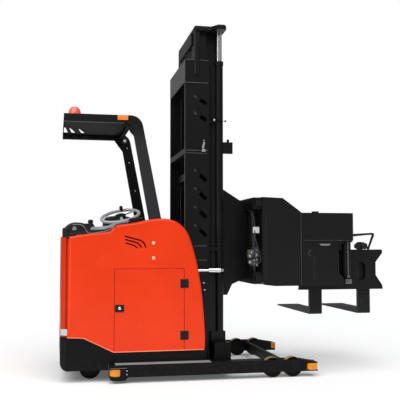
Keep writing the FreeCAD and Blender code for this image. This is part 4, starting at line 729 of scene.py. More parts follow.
def hinge_leaf(side, z):
    """One leaf of a door hinge with its half of the knuckle: side -1 on the door, 1 on the panel."""
    near, far = DOOR_FRONT + 3.5 * side, DOOR_FRONT + 37 * side
    half, gap = 38.0, 0.3
    leaf = block((min(near, far), HINGE_FACE, z), (max(near, far), HINGE_FACE + 5, z + 2 * half), 2)
    knuckle = rod("Z", (DOOR_FRONT, HINGE_FACE - 2, z if side > 0 else z + half + gap), half - gap, 6)
    screw = [(0, 0), (0, -2.4), (3.4, -2.0), (5, 0)]
    places = [((near + far) / 2, HINGE_FACE, z + rise) for rise in (18, 58)]
    return leaf + knuckle + joined(lathe(screw, place, "Y", 12) for place in places)


def battery_parts():
    """The battery's folded steel tray with ribs and lugs, the cell lids with their caps, and the straps."""
    top = 858
    tray = [block((-1022, -551, 262.3), (-462, 551, 842), 5)]
    tray += [block((x - 9, -555, 285), (x + 9, -549, 826), 2.5) for x in np.linspace(-960, -524, 5)]
    tray += [block((x - 8, -60, 842), (x + 8, 60, 876), 6) for x in (-1012, -472)]
    cells = [(x, y) for x in np.linspace(-930, -554, 4) for y in np.linspace(-450, 450, 6)]
    cap = [(0, 874), (16, 873), (19, 869), (19, 857), (0, 857)]
    lids = [block((x - 44, y - 82, 840), (x + 44, y + 82, top), 4) + lathe(cap, (x, y, 0), "Z", 20) for x, y in cells]
    strap = np.array([(26, -60, 0), (26, -60, 8), (26, 60, 8), (26, 60, 0)])
    links = [tube(strap + (x, y, top), 4, (1, 0, 0), 8) for x, y in cells]
    return joined(tray), joined(lids), joined(links)


right_skin, left_skin = side_skins()
piece("right_side_skin", right_skin, "body_orange", "side_panel_right")
piece("left_side_skin", left_skin, "body_orange", "side_panel_left")
piece("hood_and_wings", hood_and_wings(), "body_orange", "front_cowl")
# The rear panel is finished in the darker orange, which paints the shade on its rear faces.
piece("rear_shell", rear_shell(), "body_orange", "rear_panel", finish=orange_painted_shade)
# Strips behind the rear corners in the darker orange: painted shade seen through the corner gaps.
corner_shadow_backing = block((-1462, -580, 392), (-1438, -545, 1226), 2)
piece("corner_shadow_backing", corner_shadow_backing.both_sides(), "body_orange", finish=orange_painted_shade)
# A dark red sheet behind the vent lines: painted shade inside the vents.
piece("vent_shadow_backing", block((-975, -570, 1110), (-755, -560, 1250), 2), "body_orange", finish=vent_shadow_red)
corner_guard = plate([(-1496, -562, 4), (-1460, -602, 6), (-1440, -606), (-1440, -590), (-1486, -552)],
                     398, 452, "XY", edge=4)
piece("rear_corner_guards", corner_guard.both_sides(), "wheel_grey", finish=trim_grey)
# A pale strip along the lower edge of the right skin: painted highlight where light catches the lip.
sill_highlight_line = upright_line(-HALF, (-1440, 382), (-1310, 376), (-1296, 371), (-1060, 256), (-1049, 250), (-440, 251.6),
                         (-262, 252))
piece("sill_highlight_strip", tube(sill_highlight_line, 4.0, (0, 0, 1), 10), "body_orange", finish=sill_highlight_orange)

piece("battery_door_skin", battery_door(), "body_orange", "battery_door", body="door")
piece("door_hinge_leaves", joined(hinge_leaf(-1, z) for z in HINGES), "cab_plastic", body="door")
piece("panel_hinge_leaves", joined(hinge_leaf(1, z) for z in HINGES), "cab_plastic")
lock_case = plate(rectangle((-1040, 589), (-963, 650), 5), -620, -611, edge=(3, 0.5))
piece("door_lock_case", lock_case, "cab_plastic", body="door")
lock_button = lathe([(0, 0), (0, -3.5), (8, -3), (11, -1.5), (12.5, 0)], (-1000, -620, 620), "Y", 28)
piece("door_lock_button", lock_button, "chrome_rod", body="door")

battery_tray, cell_lids, cell_links = battery_parts()
piece("battery_tray", battery_tray, "battery_case", "battery")
piece("cell_lids", cell_lids, "cab_plastic")
piece("cell_links", cell_links, "cab_plastic", finish=hose_rubber)
cap_profile = [(0, 0), (0, -5), (8, -4.4), (12.5, -2.6), (15, 0)]
bolt_caps = joined(lathe(cap_profile, (x, -HALF, z), "Y", 28) for x, z in ((-710, 1179), (-709, 1049)))
piece("bolt_caps", bolt_caps, "wheel_grey", finish=cap_cream)


# ---------------------------------------------------------------- guard, beacon and lamps

GUARD_REAR = -1487
GUARD_INNER = 525
WORK_LAMP = (-862, 515, 2223)
BEACON = (-1387, -180, 0)


def guard_hoop():
    """The right hoop of the guard with its gusset, rounded over every edge."""
    hoop = rounded([(GUARD_REAR, 2230), (-901, 2230, 55), (-743, 1376), (-637, 1388), (-819, 2298, 110),
                    (GUARD_REAR, 2298)], 10)
    gusset = [(-967, 2233), (-967, 2230), (-879, 2112), (-873, 2112), (-871, 2233)]
    return plate(hoop, -575, -GUARD_INNER, edge=7) + plate(gusset, -555, -545, edge=1.5)


def slotted_roof():
    """The roof sheet with its three long wedges, between a thin rear lip and the front tube."""
    wedges = [[(x - lean, 516, 3), (x - 8, start, 2), (x + 5, start, 2), (x + run, 516, 3)]
              for x, start, lean, run in ((-1471, 60, 6, 46), (-1424, 90, -34, 88), (-1338, 130, -46, 102))]
    sheet = plate(rectangle((GUARD_REAR, -GUARD_INNER), (-885, GUARD_INNER)), 2270, 2280, "XY", 0.5, holes=wedges)
    lip = block((GUARD_REAR, -GUARD_INNER, 2232), (-1481, GUARD_INNER, 2297), 2)
    return sheet + lip + block((-921, -GUARD_INNER, 2231), (-881, GUARD_INNER, 2289), 9)


def face_screws(places, y, radius=7.0):
    """Pan-head screws on a face that looks to the right of the truck."""
    profile = [(0, 0), (0, -4), (radius * 0.6, -3.4), (radius, -1.2), (radius, 0)]
    return joined(lathe(profile, (x, y, z), "Y", 14) for x, z in places)


def beacon_lens():
    """A straight foot and, over it, a dome of 57.5 cos(t)^0.72 by 77 sin(t)^0.9 for t up to a right angle."""
    turn = np.linspace(0, math.pi / 2, 13)
    dome = np.stack((57.5 * np.cos(turn) ** 0.72, 2352 + 77 * np.sin(turn) ** 0.9), axis=1)
    dome[-1, 0] = 0
    return lathe(np.vstack(([(0, 2296), (58, 2300), (60, 2304), (60, 2314), (57.5, 2317)], dome)), BEACON, steps=56)


piece("near_guard_hoop", guard_hoop(), "chassis_black", "guard_hoop_right", finish=post_black)
piece("far_guard_hoop", guard_hoop().mirrored(), "chassis_black", "guard_hoop_left")
# The roof is finished near black without sheen, which paints the shade under it.
piece("slotted_roof", slotted_roof(), "chassis_black", "guard_roof", finish=roof_shade_black)
post_screws = face_screws([(-835, 2150), (-812, 2000), (-749, 1711)], GUARD_INNER)
piece("post_screws", post_screws, "chrome_rod", finish=zinc)
lamp_case = [(0, 18), (30, 18), (34, 14), (34, -8), (31, -11), (27, -11), (25, -7), (0, -7)]
piece("work_lamp_case", lathe(lamp_case, WORK_LAMP, "Y", 32), "cab_plastic")
lamp_glass = [(0, -3), (0, -13), (8, -12), (13, -9.5), (15, -7.4), (15, -3)]
piece("work_lamp_glass", lathe(lamp_glass, WORK_LAMP, "Y", 32), "wheel_grey", finish=label_white)
corner_lens = plate([(-925, 2176, 8), (-884, 2176, 8), (-876, 2134, 10), (-900, 2140, 12)], -527, -503, edge=4)
piece("corner_lens", corner_lens, "wheel_grey", finish=cap_cream)
piece("beacon_lens", beacon_lens(), "lamp_amber", "beacon_dome", finish=beacon_red)
beacon_foot = lathe([(0, 2279), (64, 2279), (66, 2282), (66, 2296), (62, 2301), (0, 2301)], BEACON, steps=56)
piece("beacon_foot", beacon_foot, "cab_plastic")
side_lamp = block((-1026, -588, 2252), (-934, -574, 2294), 5) + block((-1014, -590, 2262), (-946, -586, 2284), 2)
piece("side_lamps", side_lamp.both_sides(), "lamp_amber", "marker_lamps")


# ---------------------------------------------------------------- operator's place

RIM_RADIUS = 172
FLOOR_TOP = 262.3


def on_wheel(shape):
    """From the steering wheel's own plane to its place: leaned aside 18 and back 12 degrees."""
    return shape.turned("X", 18).turned("Y", -12).moved(-967, -230, 1425)


def rim_and_spokes():
    """An oval rim and three flat spokes that dip towards it."""
    angle = np.linspace(0, 2 * math.pi, 25)
    rim = lathe(np.stack((RIM_RADIUS + 15 * np.cos(angle), 14 * np.sin(angle)), axis=1), steps=96)
    section = [(-15, -4, 3), (15, -4, 3), (11, 5, 4), (-11, 5, 4)]
    spoke = sweep([(30, 0, 2), (80, 0, -4), (130, 0, -4), (164, 0, 0)], section, (0, 0, 1))
    return rim + joined(spoke.turned("Z", 120 * number + 30) for number in range(3))


def dash_pod():
    """The steering shroud, a flat dome of cos(t)^0.5 by 44 sin(t) stretched to an oval, and the display."""
    shroud = lathe([(0, -96), (58, -96), (56, -60), (44, -32), (0, -32)], steps=40)
    turn = np.linspace(0, math.pi / 2, 9)
    dome = np.stack((np.cos(turn) ** 0.5, 44 * np.sin(turn)), axis=1)
    pod = lathe(np.vstack(([(0, -30), (1, -30)], dome)), steps=56)
    pod = Shape(pod.points * (146, 190, 1.4) + (-974, -118, 1366), pod.quads)
    display = block((-905, -470, 1345), (-800, -340, 1404), 10).turned("Y", -8, (-850, 0, 1375))
    return on_wheel(shroud) + pod + display


def tray_and_trim():
    """The tray behind the dash, and the flat band that sweeps from it to the hood."""
    tray = plate([(-1268, 1290, 8), (-1236, 1318, 12), (-1124, 1324, 14), (-1072, 1334, 10), (-1050, 1346, 6),
                  (-1036, 1334, 4), (-1064, 1302, 14), (-1106, 1290, 10)], -592, -486, edge=5)
    line = flowing([(-1056, -500, 1338), (-1000, -440, 1352), (-930, -410, 1362), (-850, -400, 1384),
                    (-790, -400, 1402)])
    return tray + sweep(line, rectangle((-34, -5), (34, 5), 4), (0, 0, 1))


def arm_base():
    """The black rail that the armrest stands on, along the top of the side skin."""
    line = upright_line(-566, (-1484, 1244), (-1420, 1252), (-1340, 1264), (-1257, 1274), (-1176, 1282),
                        (-1116, 1290), (-1080, 1304))
    return sweep(flowing(line, 4), [(-34, -13, 6), (34, -13, 6), (34, 10, 8), (-34, 10, 8)], (0, 0, 1))


def armrest_base():
    """The rail with the arch's filling, the console, the lever with its boot and knob, and the heel."""
    filling = plate([(-1458, 1240, 10), (-1438, 1308, 24), (-1390, 1328, 24), (-1325, 1328, 24), (-1286, 1266, 12)],
                    -594, -490, edge=3)
    console = plate([(-1334, 1258, 8), (-1330, 1330, 16), (-1296, 1346, 12), (-1230, 1346, 10), (-1214, 1322, 12),
                     (-1192, 1268, 8)], -588, -490, edge=6)
    lever = tube(flowing(upright_line(-540, (-1262, 1280), (-1250, 1325), (-1246, 1352))), 6)
    knob = lathe([(0, 1344), (17, 1346), (23, 1354), (23, 1370), (17, 1379), (0, 1381)], (-1250, -540, 0), "Z", 28)
    boot = lathe([(0, 1270), (34, 1270), (30, 1296), (16, 1322), (9, 1332), (0, 1333)], (-1256, -540, 0), "Z", 28)
    heel = block((-1489, -604, 1226), (-1436, -486, 1308), 14) + block((-1452, -600, 1214), (-1370, -570, 1252), 8)
    return arm_base() + filling + console + lever + knob + boot + heel


def crowned(low, high, crown, corner, seams):
    """A stuffed pad with x as its thickness.

    Over (u, v) from -1 to 1 its half thickness falls off as the fourth root of (1 - u^6)(1 - v^6),
    its outline is a box with eased corners and sides drawn in a little at the middle, and a sewn
    channel at every v of seams presses in by a narrow bell curve. The back is a bit flatter.
    """
    waist, back_share, channel_depth, channel_width = 0.012, 0.9, 0.28, 0.035
    low, high = np.array(low, float), np.array(high, float)
    middle, half = (low + high) / 2, (high - low) / 2
    t = np.sin(np.linspace(-1, 1, 41) * math.pi / 2)
    u, v = np.meshgrid(t, t, indexing="ij")
    fall = np.clip((1 - u**6) * (1 - v**6), 0, 1) ** 0.25
    square = 1 - corner * (u**2 * v**2) ** 2
    across = middle[1] + half[1] * u * square * (1 - waist * (1 - v**2))
    up = middle[2] + half[2] * v * square * (1 - waist * (1 - u**2))
    press = sum(np.exp(-(((v - seam) / channel_width) ** 2)) for seam in seams)
    depth = half[0] * fall * (1 - crown * (u**2 + v**2) / 2) * (1 - channel_depth * press)
    front = np.stack((middle[0] + depth, across, up), axis=-1)
    back = np.stack((middle[0] - half[0] * fall * back_share, across, up), axis=-1)
    return Shape(front, skin(front, False)) + Shape(back, skin(back, False))


def arm_pad():
    """The padded arch of the armrest, carried over the measured top line.

    Its section is a rounded oblong: 54 cos(t)^0.55 across and 20 sin(t)^0.75 high, signs kept.
    """
    line = upright_line(-545, (-1470, 1262), (-1457, 1294), (-1430, 1320), (-1397, 1334), (-1355, 1335),
                        (-1319, 1330), (-1296, 1313), (-1278, 1290), (-1262, 1276))
    angle = np.linspace(0, 2 * math.pi, 33)[:-1]
    across = 54 * np.sign(np.cos(angle)) * np.abs(np.cos(angle)) ** 0.55
    over = 20 * np.sign(np.sin(angle)) * np.abs(np.sin(angle)) ** 0.75
    return sweep(flowing(line), np.stack((across, over), axis=1), (0, 0, 1))


piece("steering_rim", on_wheel(rim_and_spokes()), "wheel_grey", "steering_wheel", body="steering")
hub = lathe([(0, -26), (34, -26), (46, -16), (52, -4), (50, 8), (40, 15), (22, 19), (0, 20)])
knob = lathe([(0, 4), (10, 4), (9, 16), (15, 24), (17, 38), (15, 50), (8, 56), (0, 57)], (32, 128, 0), "Z", 28)
piece("steering_hub_and_knob", on_wheel(hub + knob), "cab_plastic", body="steering")
piece("dash_pod", dash_pod(), "cab_plastic")
piece("grey_tray_and_trim", tray_and_trim(), "wheel_grey", finish=tray_grey)
backrest = piece("backrest_cushion", crowned((-1491, -280, 800), (-1446, 280, 1180), 0.25, 0.07, (-0.33, 0.33)),
                 "pad_vinyl", "backrest_pad", sharp=60)
arm = piece("armrest_pad", arm_pad(), "pad_vinyl", "armrest", sharp=60)
piping_line = upright_line(-602, (-1404, 1333), (-1384, 1336), (-1340, 1335), (-1310, 1318), (-1288, 1284),
                           (-1262, 1262), (-1200, 1268), (-1120, 1282), (-1070, 1306))
piece("armrest_piping", tube(flowing(piping_line), 3.2, steps=10), "wheel_grey", finish=soft_grey)
mat = [plate(rectangle((-1430, -440), (-1100, 560), 20), FLOOR_TOP, 268, "XY", edge=2)]
mat += [block((x - 5, -424, 267), (x + 5, 544, 271), 1.8) for x in np.linspace(-1412, -1118, 15)]
piece("ribbed_floor_mat", joined(mat), "cab_plastic", finish=hose_rubber)
piece("armrest_base", armrest_base(), "cab_plastic")
adjuster = plate([(-1408, 1286, 8), (-1366, 1288, 8), (-1376, 1318, 12), (-1400, 1322, 12)], -598, -590, edge=3)
piece("armrest_adjuster", adjuster, "wheel_grey", finish=soft_grey)


# ---------------------------------------------------------------- mast

MAST_FACE = -425.5
PLATE_FLOOR = 383.4
WEB_SPANS = ((PLATE_FLOOR, 1109.6), (1140.4, 2277.6), (2308.4, 2823.6))
# The lower end and the rise of every diagonal slot.
DIAGONALS = [(1251 + 167 * step, 88) for step in range(4)] + [(2308 + 154 * step, 58) for step in range(2)]


def upright(outline, *spans, edge=1.2):
    """One section drawn up between pairs of heights."""
    return joined(plate(outline, low, high, "XY", edge) for low, high in spans)


def cylinder_webs():
    """The web from the column to the cylinder, and the cover over the foot of the cylinder."""
    web = [(-180, -374), (-180, -386), (-160, -386), (-157, -392), (-149, -392), (-146, -386), (-112.6, -386),
           (-112.6, -374)]
    cover = [(-176.5, -380), (-176.5, -420, 3), (-124, -420, 8), (-112.6, -410, 3), (-112.6, -380)]
    return upright(web, *WEB_SPANS) + upright(cover, (PLATE_FLOOR, 880), edge=2)


def slot_fills():
    """The near-black floor of every diagonal slot, painted shade in the slot, the pad in its upper half and a small
    painted highlight at that pad's upper end.
    """
    floors, pads, end_highlights = [], [], []
    for z, rise in DIAGONALS:
        top = (-306, z + rise)
        floors.append(plate(stroke(np.linspace(top, (-214, z), 4), 35.4), -416.5, -413.2, edge=0.3))
        pads.append(plate(stroke(np.linspace(top, (-272, z + rise * 0.62), 3), 35), -419.5, -416.4, edge=0.8))
        highlight_path = np.linspace((-309, z + rise + 3), (-300, z + rise - 5), 3)
        end_highlights.append(plate(stroke(highlight_path, 22), -420.5, -419.4, edge=0.5))
    return joined(floors), joined(pads), joined(end_highlights)


def clamp_and_stop():
    """The clamp bolt, and the slanted stop with its foot and bolt."""
    clamp_bolt = lathe([(0, 0), (0, -9), (9, -8), (12, -5), (12, 0)], (-130, -427, 2306), "Y", 20)
    stop = block((-240, -433, 2040), (-220, -425, 2098), 2).turned("Y", 12, (-230, 0, 2070))
    foot = block((-246, -434, 2010), (-212, -425, 2032), 3)
    return clamp_bolt + stop + foot + lathe([(0, 0), (0, -9), (7, -8), (9, 0)], (-226, -425, 2112), "Y", 16)


piece("cylinder_webs", cylinder_webs().both_sides(), "mast_black")
fin = [(-197, -322), (-197, -332), (-84.5, -332), (-84.5, -322), (-120, -322), (-124, -316), (-132, -316),
       (-136, -322)]
piece("inner_fins", upright(fin, (2760, 3129.6)).both_sides(), "mast_black", body="inner_mast")
slot_shadow_floors, slot_pads, slot_end_highlights = slot_fills()
# Near-black slot floors are painted shade inside the slots; the lighter marks at their upper ends are painted
# highlights.
piece("slot_shadow_floors", slot_shadow_floors.both_sides(), "mast_black", finish=shadow_black)
piece("slot_pads", slot_pads.both_sides(), "mast_black")
piece("slot_end_highlights", slot_end_highlights.both_sides(), "mast_black", finish=slot_highlight_grey)
# Thin grey strips along the mast's edges and collar lines: painted highlights of lit edges.
mast_highlights = blocks(
    ((-398, -426.2, 2857), (-182, -424.2, 2859.8), 0.8), ((-398, -426.4, 2645), (-182, -424.4, 2649), 0.8),
    ((-398, -426.4, 2020), (-190, -424.4, 2024), 0.8), ((-398, -426.4, 1996), (-196, -424.4, 1999), 0.8),
    ((-404.6, -425.6, 384), (-401, -424.0, 2856), 0.8),
)
piece("mast_edge_highlights", mast_highlights.both_sides(), "mast_black", finish=highlight_and_metal_grey)
# A grey face on the rear of the outer mast's top band: painted sheen.
piece("band_painted_sheen", block((-406.5, -421, 2652), (-403.5, 421, 2854), 1), "mast_black", finish=band_sheen_grey)
# A near-black ring round the clamp bolt, a thin dark line and a short dark bar beside it: painted shadows.
clamp_shadows = lathe([(0, 0), (0, -2), (20, -2), (22, 0)], (-130, MAST_FACE, 2306), "Y", 28)
clamp_shadows = clamp_shadows + rod("X", (-118, -428, 2298), 96, 2.5, 0.8) + rod("X", (-32, -428, 2298), 14, 8)
piece("clamp_painted_shadows", clamp_shadows, "cab_plastic", finish=shadow_black)
piece("mast_stop_and_clamp_bolt", clamp_and_stop(), "chrome_rod", finish=zinc)
cover_screws = face_screws([(-231, 819), (-223, 757), (-214, 757), (-222, 819)], MAST_FACE, radius=6)
piece("mast_cover_screws", cover_screws, "chrome_rod", finish=zinc)
# A thin grey outline round the recess: painted highlight on its lit rim.
recess_line = upright_line(-425.6, (-200, 1024), (-314, 1024), (-314, 1152), (-200, 1152))
piece("recess_rim_highlight", tube(recess_line, 1.8, steps=8), "mast_black", finish=highlight_and_metal_grey)
# Thin grey strips on the inner columns' corners: painted highlights of their lit edges.
column_highlights = blocks(
    ((-313.5, -398, 2000), (-311.5, -392, 2645), 0.8), ((-313.5, -312, 2000), (-311.5, -306, 2645), 0.8),
)
column_highlights = column_highlights + column_highlights.moved(z=-900) + block((-313.5, -398, 2865), (-311.5, -392, 3125), 0.8)
piece("inner_column_edge_highlights", column_highlights.both_sides(), "mast_black", body="inner_mast", finish=highlight_and_metal_grey)
cap_half = [(-317, -450, 20), (-162, -450, 12), (-112, -525, 12), (-30, -525, 34), (-30, -306, 6), (-160, -306, 14)]
cap_outline = cap_half + [(x, -y, radius) for x, y, radius in cap_half[::-1]]
mast_cap = plate(cap_outline, 3130, 3175, "XY", edge=(4.0, 14.0))
piece("mast_cap", mast_cap, "mast_black", "inner_cap", body="inner_mast")
cap_bar = block((-317, -436.5, 2720), (-267, -430, 3131), 2.5)
piece("cap_bars", cap_bar.both_sides(), "mast_black", body="inner_mast")
# A thin grey strip on each cap bar: painted highlight of its lit edge.
cap_bar_highlight = block((-314, -440, 2724), (-308, -436, 3131), 1.5)
piece("cap_bar_edge_highlights", cap_bar_highlight.both_sides(), "mast_black", body="inner_mast", finish=head_highlight_grey)


# ---------------------------------------------------------------- legs and wheels

LEG_LINE = 640.0
LEG_SIDE = -708


def wheel_parts(x, radius, half, y):
    """The tread band of a wheel that stands on the floor, and its core, dished alike on both faces."""
    tread = eased(radius, 3 - half, half - 3, 2, 5, inner=radius - 12)
    band = lathe(np.vstack((tread, tread[:1])), (x, y, radius), "Y", 64)
    face = [(0, -half - 2), (20, -half - 2), (22, -half + 3), (26, -half + 7), (radius - 20, -half + 7),
            (radius - 16, -half), (radius - 3, -half), (radius - 1, 2 - half), (radius - 2, 3.5 - half),
            (radius - 11.5, 4 - half)]
    core = lathe(face + [(r, -along) for r, along in face[::-1]], (x, y, radius), "Y", 64)
    return band, core


for place_name, x in (("rear", 343.0), ("front", 528.0)):
    for side_name, y in (("right", -LEG_LINE), ("left", LEG_LINE)):
        band, core = wheel_parts(x, 88.0, 33.0, y)
        wheel = f"load_wheel_{place_name}_{side_name}"
        piece(wheel + "_tread", band, "tread", wheel, body=wheel + "_body")
        piece(wheel + "_core", core, "chassis_black", body=wheel + "_body")

for wheel, body, x, y, radius, half in (
    ("drive_wheel", "drive_roll", -1207.0, 0.0, 112.0, 36.0),
    ("castor_wheel_right", "castor_right_roll", -1237.0, -400.0, 93.0, 23.0),
    ("castor_wheel_left", "castor_left_roll", -1237.0, 400.0, 93.0, 23.0),
):
    band, core = wheel_parts(x, radius, half, y)
    piece(wheel + "_tyre", band, "tyre_black", wheel, body=body)
    piece(wheel + "_core", core, "chassis_black", body=body)

# Thin light plates on top of the legs: painted sheen where light falls on the tops.
strip = plate(rectangle((-1040, -700), (-215, -600), 4), 154.5, 157.5, "XY", edge=1.2)
piece("leg_top_sheen_strips", strip.both_sides(), "chassis_black", finish=leg_sheen_grey)
claw = plate([(-1086, 122, 3), (-1086, 131, 3), (-940, 131, 10), (-930, 100, 10), (-930, 55, 16), (-958, 24, 30),
              (-1050, 22, 20), (-1086, 34, 8), (-1086, 50, 3), (-1008, 50, 6), (-1000, 60, 6), (-1000, 116, 6),
              (-1010, 122, 4)], LEG_SIDE, -698, edge=3)
claw_flanges = block((-1086, -706, 123), (-940, -640, 131), 3) + block((-1070, -704, 24), (-950, -650, 34), 4)
piece("leg_toe_brackets", (claw + claw_flanges).both_sides(), "chassis_black")
# A thin grey strip along the toe bracket's top edge: painted highlight.
claw_highlight = block((-1082, -709.5, 127), (-944, -706.5, 131.5), 1.2)
piece("toe_bracket_edge_highlights", claw_highlight.both_sides(), "chassis_black", finish=highlight_and_metal_grey)
leg_bolts = face_screws([(-943, 106), (-943, 76)], LEG_SIDE, radius=5.5)
piece("leg_bolts", leg_bolts.both_sides(), "chrome_rod", finish=zinc)
piece("leg_tip_bumpers", block((706, -584, 70), (752, -577, 132)).both_sides(), "roller_amber")


# ---------------------------------------------------------------- carriage and its drive


def traverse_motor():
    """A round motor with nine cooling ribs and a slimmer neck."""
    ribs = [(0, -122)]
    for place in range(-120, -30, 10):
        ribs += [(32, place), (32, place + 5), (29, place + 6), (29, place + 9)]
    ribs += [(32, -30), (32, -24), (24, -22), (24, 0), (0, 0)]
    return lathe(ribs, (214, -500, 1095), "Y", 40)


def bay_hoses():
    """Four hoses between the valve block and the frame of the bay, two thick and two thin."""
    runs = (
        [(196, -612, 1034), (192, -634, 1080), (186, -636, 1180), (190, -620, 1262)],
        [(224, -612, 1036), (234, -640, 1090), (214, -646, 1150), (196, -630, 1230), (200, -600, 1350),
         (196, -560, 1470)],
        [(196, -612, 985), (186, -636, 960), (190, -630, 930), (204, -590, 918)],
        [(222, -612, 987), (240, -642, 1010), (238, -650, 1060), (214, -640, 1100), (188, -620, 1130),
         (184, -590, 1230), (190, -570, 1400), (186, -540, 1478)],
    )
    return joined(tube(flowing(run, 6), radius, steps=10) for run, radius in zip(runs, (9, 7, 9, 7)))


bay = plate(rectangle((178.4, 920.4), (246, 1479.6)), -312, -300, edge=1)
bay_back = block((178.6, -299, 921), (181.4, 299, 1479), 0.6)
piece("bay_webs", bay.both_sides() + bay_back, "mast_black", body="carriage")
piece("traverse_motor", traverse_motor(), "drive_metal", "traverse_drive", body="carriage", finish=zinc)
valve_block = blocks(
    ((182, -600, 972), (238, -505, 1046), 4), ((188, -597, 1044), (232, -510, 1064), 3),
    ((186, -604, 1118), (238, -548, 1146), 4), ((138, -612, 1044), (182, -560, 1118), 5),
    ((146, -616, 990), (180, -570, 1030), 4),
)
piece("valve_block", valve_block, "drive_metal", body="carriage", finish=olive_grey)
fitting = [(0, 0), (0, -16), (6, -16), (7, -9), (10, -8), (10, 0)]
valve_fittings = joined(lathe(fitting, place, "Y", 6) for place in (
    (196, -600, 985), (222, -600, 985), (196, -600, 1030), (224, -600, 1034), (206, -600, 1056),
    (152, -612, 1062), (168, -612, 1096), (152, -612, 1008),
))
piece("valve_fittings", valve_fittings, "chrome_rod", body="carriage", finish=zinc)
blank_plate = plate(rectangle((181, 1268), (239, 1322), 3), -622, -616, edge=1)
piece("blank_plate", blank_plate, "wheel_grey", body="carriage", finish=label_white)
piece("terminal_box", block((184, -617, 1262), (240, -512, 1330), 4), "cab_plastic", body="carriage")
piece("bay_hoses", bay_hoses(), "cab_plastic", body="carriage", finish=hose_rubber)


# ---------------------------------------------------------------- head

COVER_FACE = -650
PIPE = (1080, -616)
MOTOR = (1226, -436, 1150)


def head_edge_highlights():
    """Painted highlights along the cover's lit edges, and a painted highlight ring round its boss."""
    lines = blocks(
        ((614, -662, 802), (620, -658.5, 1452), 1), ((295, -661, 850), (297, -659, 1440), 0.8),
        ((640, -657.5, 1200.5), (1088, -654, 1205), 1), ((745, -650.8, 850), (747, -649, 1075), 0.5),
        ((972, -648, 862), (976, -644, 1110), 1),
    )
    post = tube(upright_line(-648.8, (1112.5, 1208), (1112.5, 1442)), 2.2, steps=8)
    ring = lathe([(20, 0), (20, -5), (26, -5), (28, 0)], (712, COVER_FACE, 1087), "Y", 32)
    return lines + post + ring


def pipe_run(low, high):
    """A piece of the upright grease pipe beside the pivot."""
    return tube([(*PIPE, low), (*PIPE, high)], 6, steps=12)


piece("head_edge_highlights", head_edge_highlights(), "head_black", body="traverse", finish=head_highlight_grey)
# A grey strip at the cover's pocket: painted highlight where light catches its edge.
pocket_highlight = plate([(800, 1172, 3), (792, 1164, 5), (812, 1155, 8), (880, 1155, 8), (902, 1164, 5), (896, 1172, 3)],
                     -652.5, -649, edge=1)
piece("pocket_highlight", pocket_highlight, "wheel_grey", body="traverse", finish=soft_grey)
arm_gusset = blocks(
    ((966, -588, 1114.5), (1034, -532, 1199), 3), ((1036, -650, 1186), (1112, -638, 1199.5), 3),
    ((940, -640, 1176), (1034, -588, 1199), 4),
)
piece("arm_gusset", arm_gusset, "head_black", body="traverse")
bracket = plate(rectangle((1035, 810), (1094, 852), 4), -668, -656, edge=2, holes=[circle((1052, 836), 7, 16)])
piece("pipe_top_and_bracket", pipe_run(1122, 1198) + bracket, "drive_metal", body="traverse", finish=highlight_and_metal_grey)
clips = block((1068, -625, 862), (1096, -606, 882)) + block((1070, -608, 1090), (1092, -598, 1104), 2)
piece("grease_pipe", pipe_run(868, 1116) + clips, "drive_metal", body="head", finish=highlight_and_metal_grey)
bar_line = bent(upright_line(-424, (1112, 1120), (1112, 1249), (1424, 1268), (1362, 1122)), 12)
piece("hose_guard_bar", tube(bar_line, 10, steps=12), "head_black", body="head")
clamp_motor = lathe([(0, 0), (20, 0), (22, 4), (22, 40), (17, 44), (17, 56), (28, 60), (30, 66), (30, 84), (26, 88),
                     (26, 92), (30, 96), (30, 108), (26, 116), (12, 118), (0, 118)], MOTOR, "X", 36)
piece("clamp_motor", clamp_motor, "cab_plastic", body="head")
motor_fittings = lathe([(0, 0), (9, 0), (10, 6), (8, 14), (0, 15)], (1258, -436, 1170), "Z", 20)
motor_fittings = motor_fittings + lathe([(0, 0), (7, 0), (7, 12), (0, 13)], (1312, -436, 1178), "Z", 20)
piece("motor_fittings", motor_fittings, "drive_metal", body="head")


# ---------------------------------------------------------------- light, floor and camera

CAMERA_PLACE = (-1.5417, -6.8288, 1.17)
# The focal length and the drop of the horizon below the picture's middle, in pixels of a 400 pixel picture.
FOCAL_PIXELS, PICTURE_PIXELS, HORIZON_DROP = 720, 400, 44
YAW = -11.3
SENSOR = 36.0


def add(name, data, place=(0, 0, 0), lean=0.0, turn=0.0):
    """An object of this data in the scene, leaned back and then turned, in degrees."""
    made = bpy.data.objects.new(name, data)
    made.location = place
    made.rotation_euler = (math.radians(lean), 0.0, math.radians(turn))
    bpy.context.scene.collection.objects.link(made)
    return made


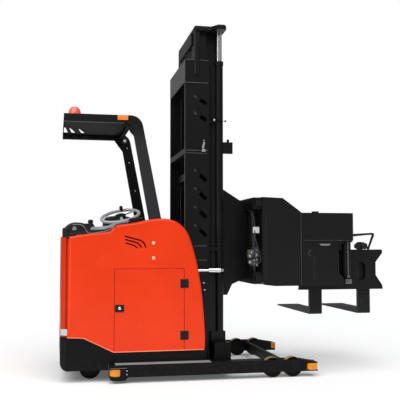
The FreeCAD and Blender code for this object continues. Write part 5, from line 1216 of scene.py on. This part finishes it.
def surround():
    """White behind the truck, and dimmer in what the truck reflects, as in a studio with dark flags."""
    world = bpy.data.worlds.new("studio_surround")
    world.use_nodes = True
    tree = world.node_tree
    seen, lit = tree.nodes["Background"], tree.nodes.new("ShaderNodeBackground")
    for shader, tone, strength in ((lit, (0.96, 0.98, 1.0, 1), 0.3), (seen, (1, 1, 1, 1), 1.0)):
        shader.inputs["Color"].default_value = tone
        shader.inputs["Strength"].default_value = strength
    mixed = tree.nodes.new("ShaderNodeMixShader")
    tree.links.new(tree.nodes.new("ShaderNodeLightPath").outputs["Is Camera Ray"], mixed.inputs[0])
    tree.links.new(lit.outputs[0], mixed.inputs[1])
    tree.links.new(seen.outputs[0], mixed.inputs[2])
    tree.links.new(mixed.outputs[0], tree.nodes["World Output"].inputs["Surface"])
    bpy.context.scene.world = world


def studio():
    """A pale floor, a white surround, a wide soft lamp overhead, a strip light behind and the camera."""
    floor = plate(rectangle((-9000, -9000), (9000, 9000)), -20, -1, "XY", edge=1)
    mesh = bpy.data.meshes.new("studio_floor")
    mesh.from_pydata(floor.points * MM, [], floor.quads.tolist() + floor.tris.tolist())
    white = Finish("studio_white", 0.75, specular=0.1)
    white.feed(Base_Color=white.mix(white.noise(0.8), (0.95, 0.95, 0.95), (0.97, 0.97, 0.97)))
    white.shader.inputs["Emission Color"].default_value = (1, 1, 1, 1)
    white.shader.inputs["Emission Strength"].default_value = 0.1
    mesh.materials.append(white.material)
    add("studio_floor", mesh)
    surround()
    lamp = bpy.data.lights.new("overhead_softbox", "SUN")
    lamp.energy = 2.55
    lamp.angle = math.radians(70)
    add("overhead_softbox", lamp, lean=33, turn=-16)
    strip = bpy.data.lights.new("tall_strip_light", "AREA")
    strip.shape, strip.size, strip.size_y, strip.energy = "RECTANGLE", 0.8, 4.5, 42
    add("tall_strip_light", strip, (-4.6, -3.2, 2.4), 90, -55)
    lens = bpy.data.cameras.new("picture_camera")
    lens.sensor_width = SENSOR
    lens.lens = SENSOR * FOCAL_PIXELS / PICTURE_PIXELS
    lens.clip_end = 100.0
    pitch = math.degrees(math.atan(HORIZON_DROP / FOCAL_PIXELS))
    scene = bpy.context.scene
    scene.camera = add("picture_camera", lens, CAMERA_PLACE, 90 + pitch, YAW)
    scene.view_settings.view_transform = "Standard"


studio()
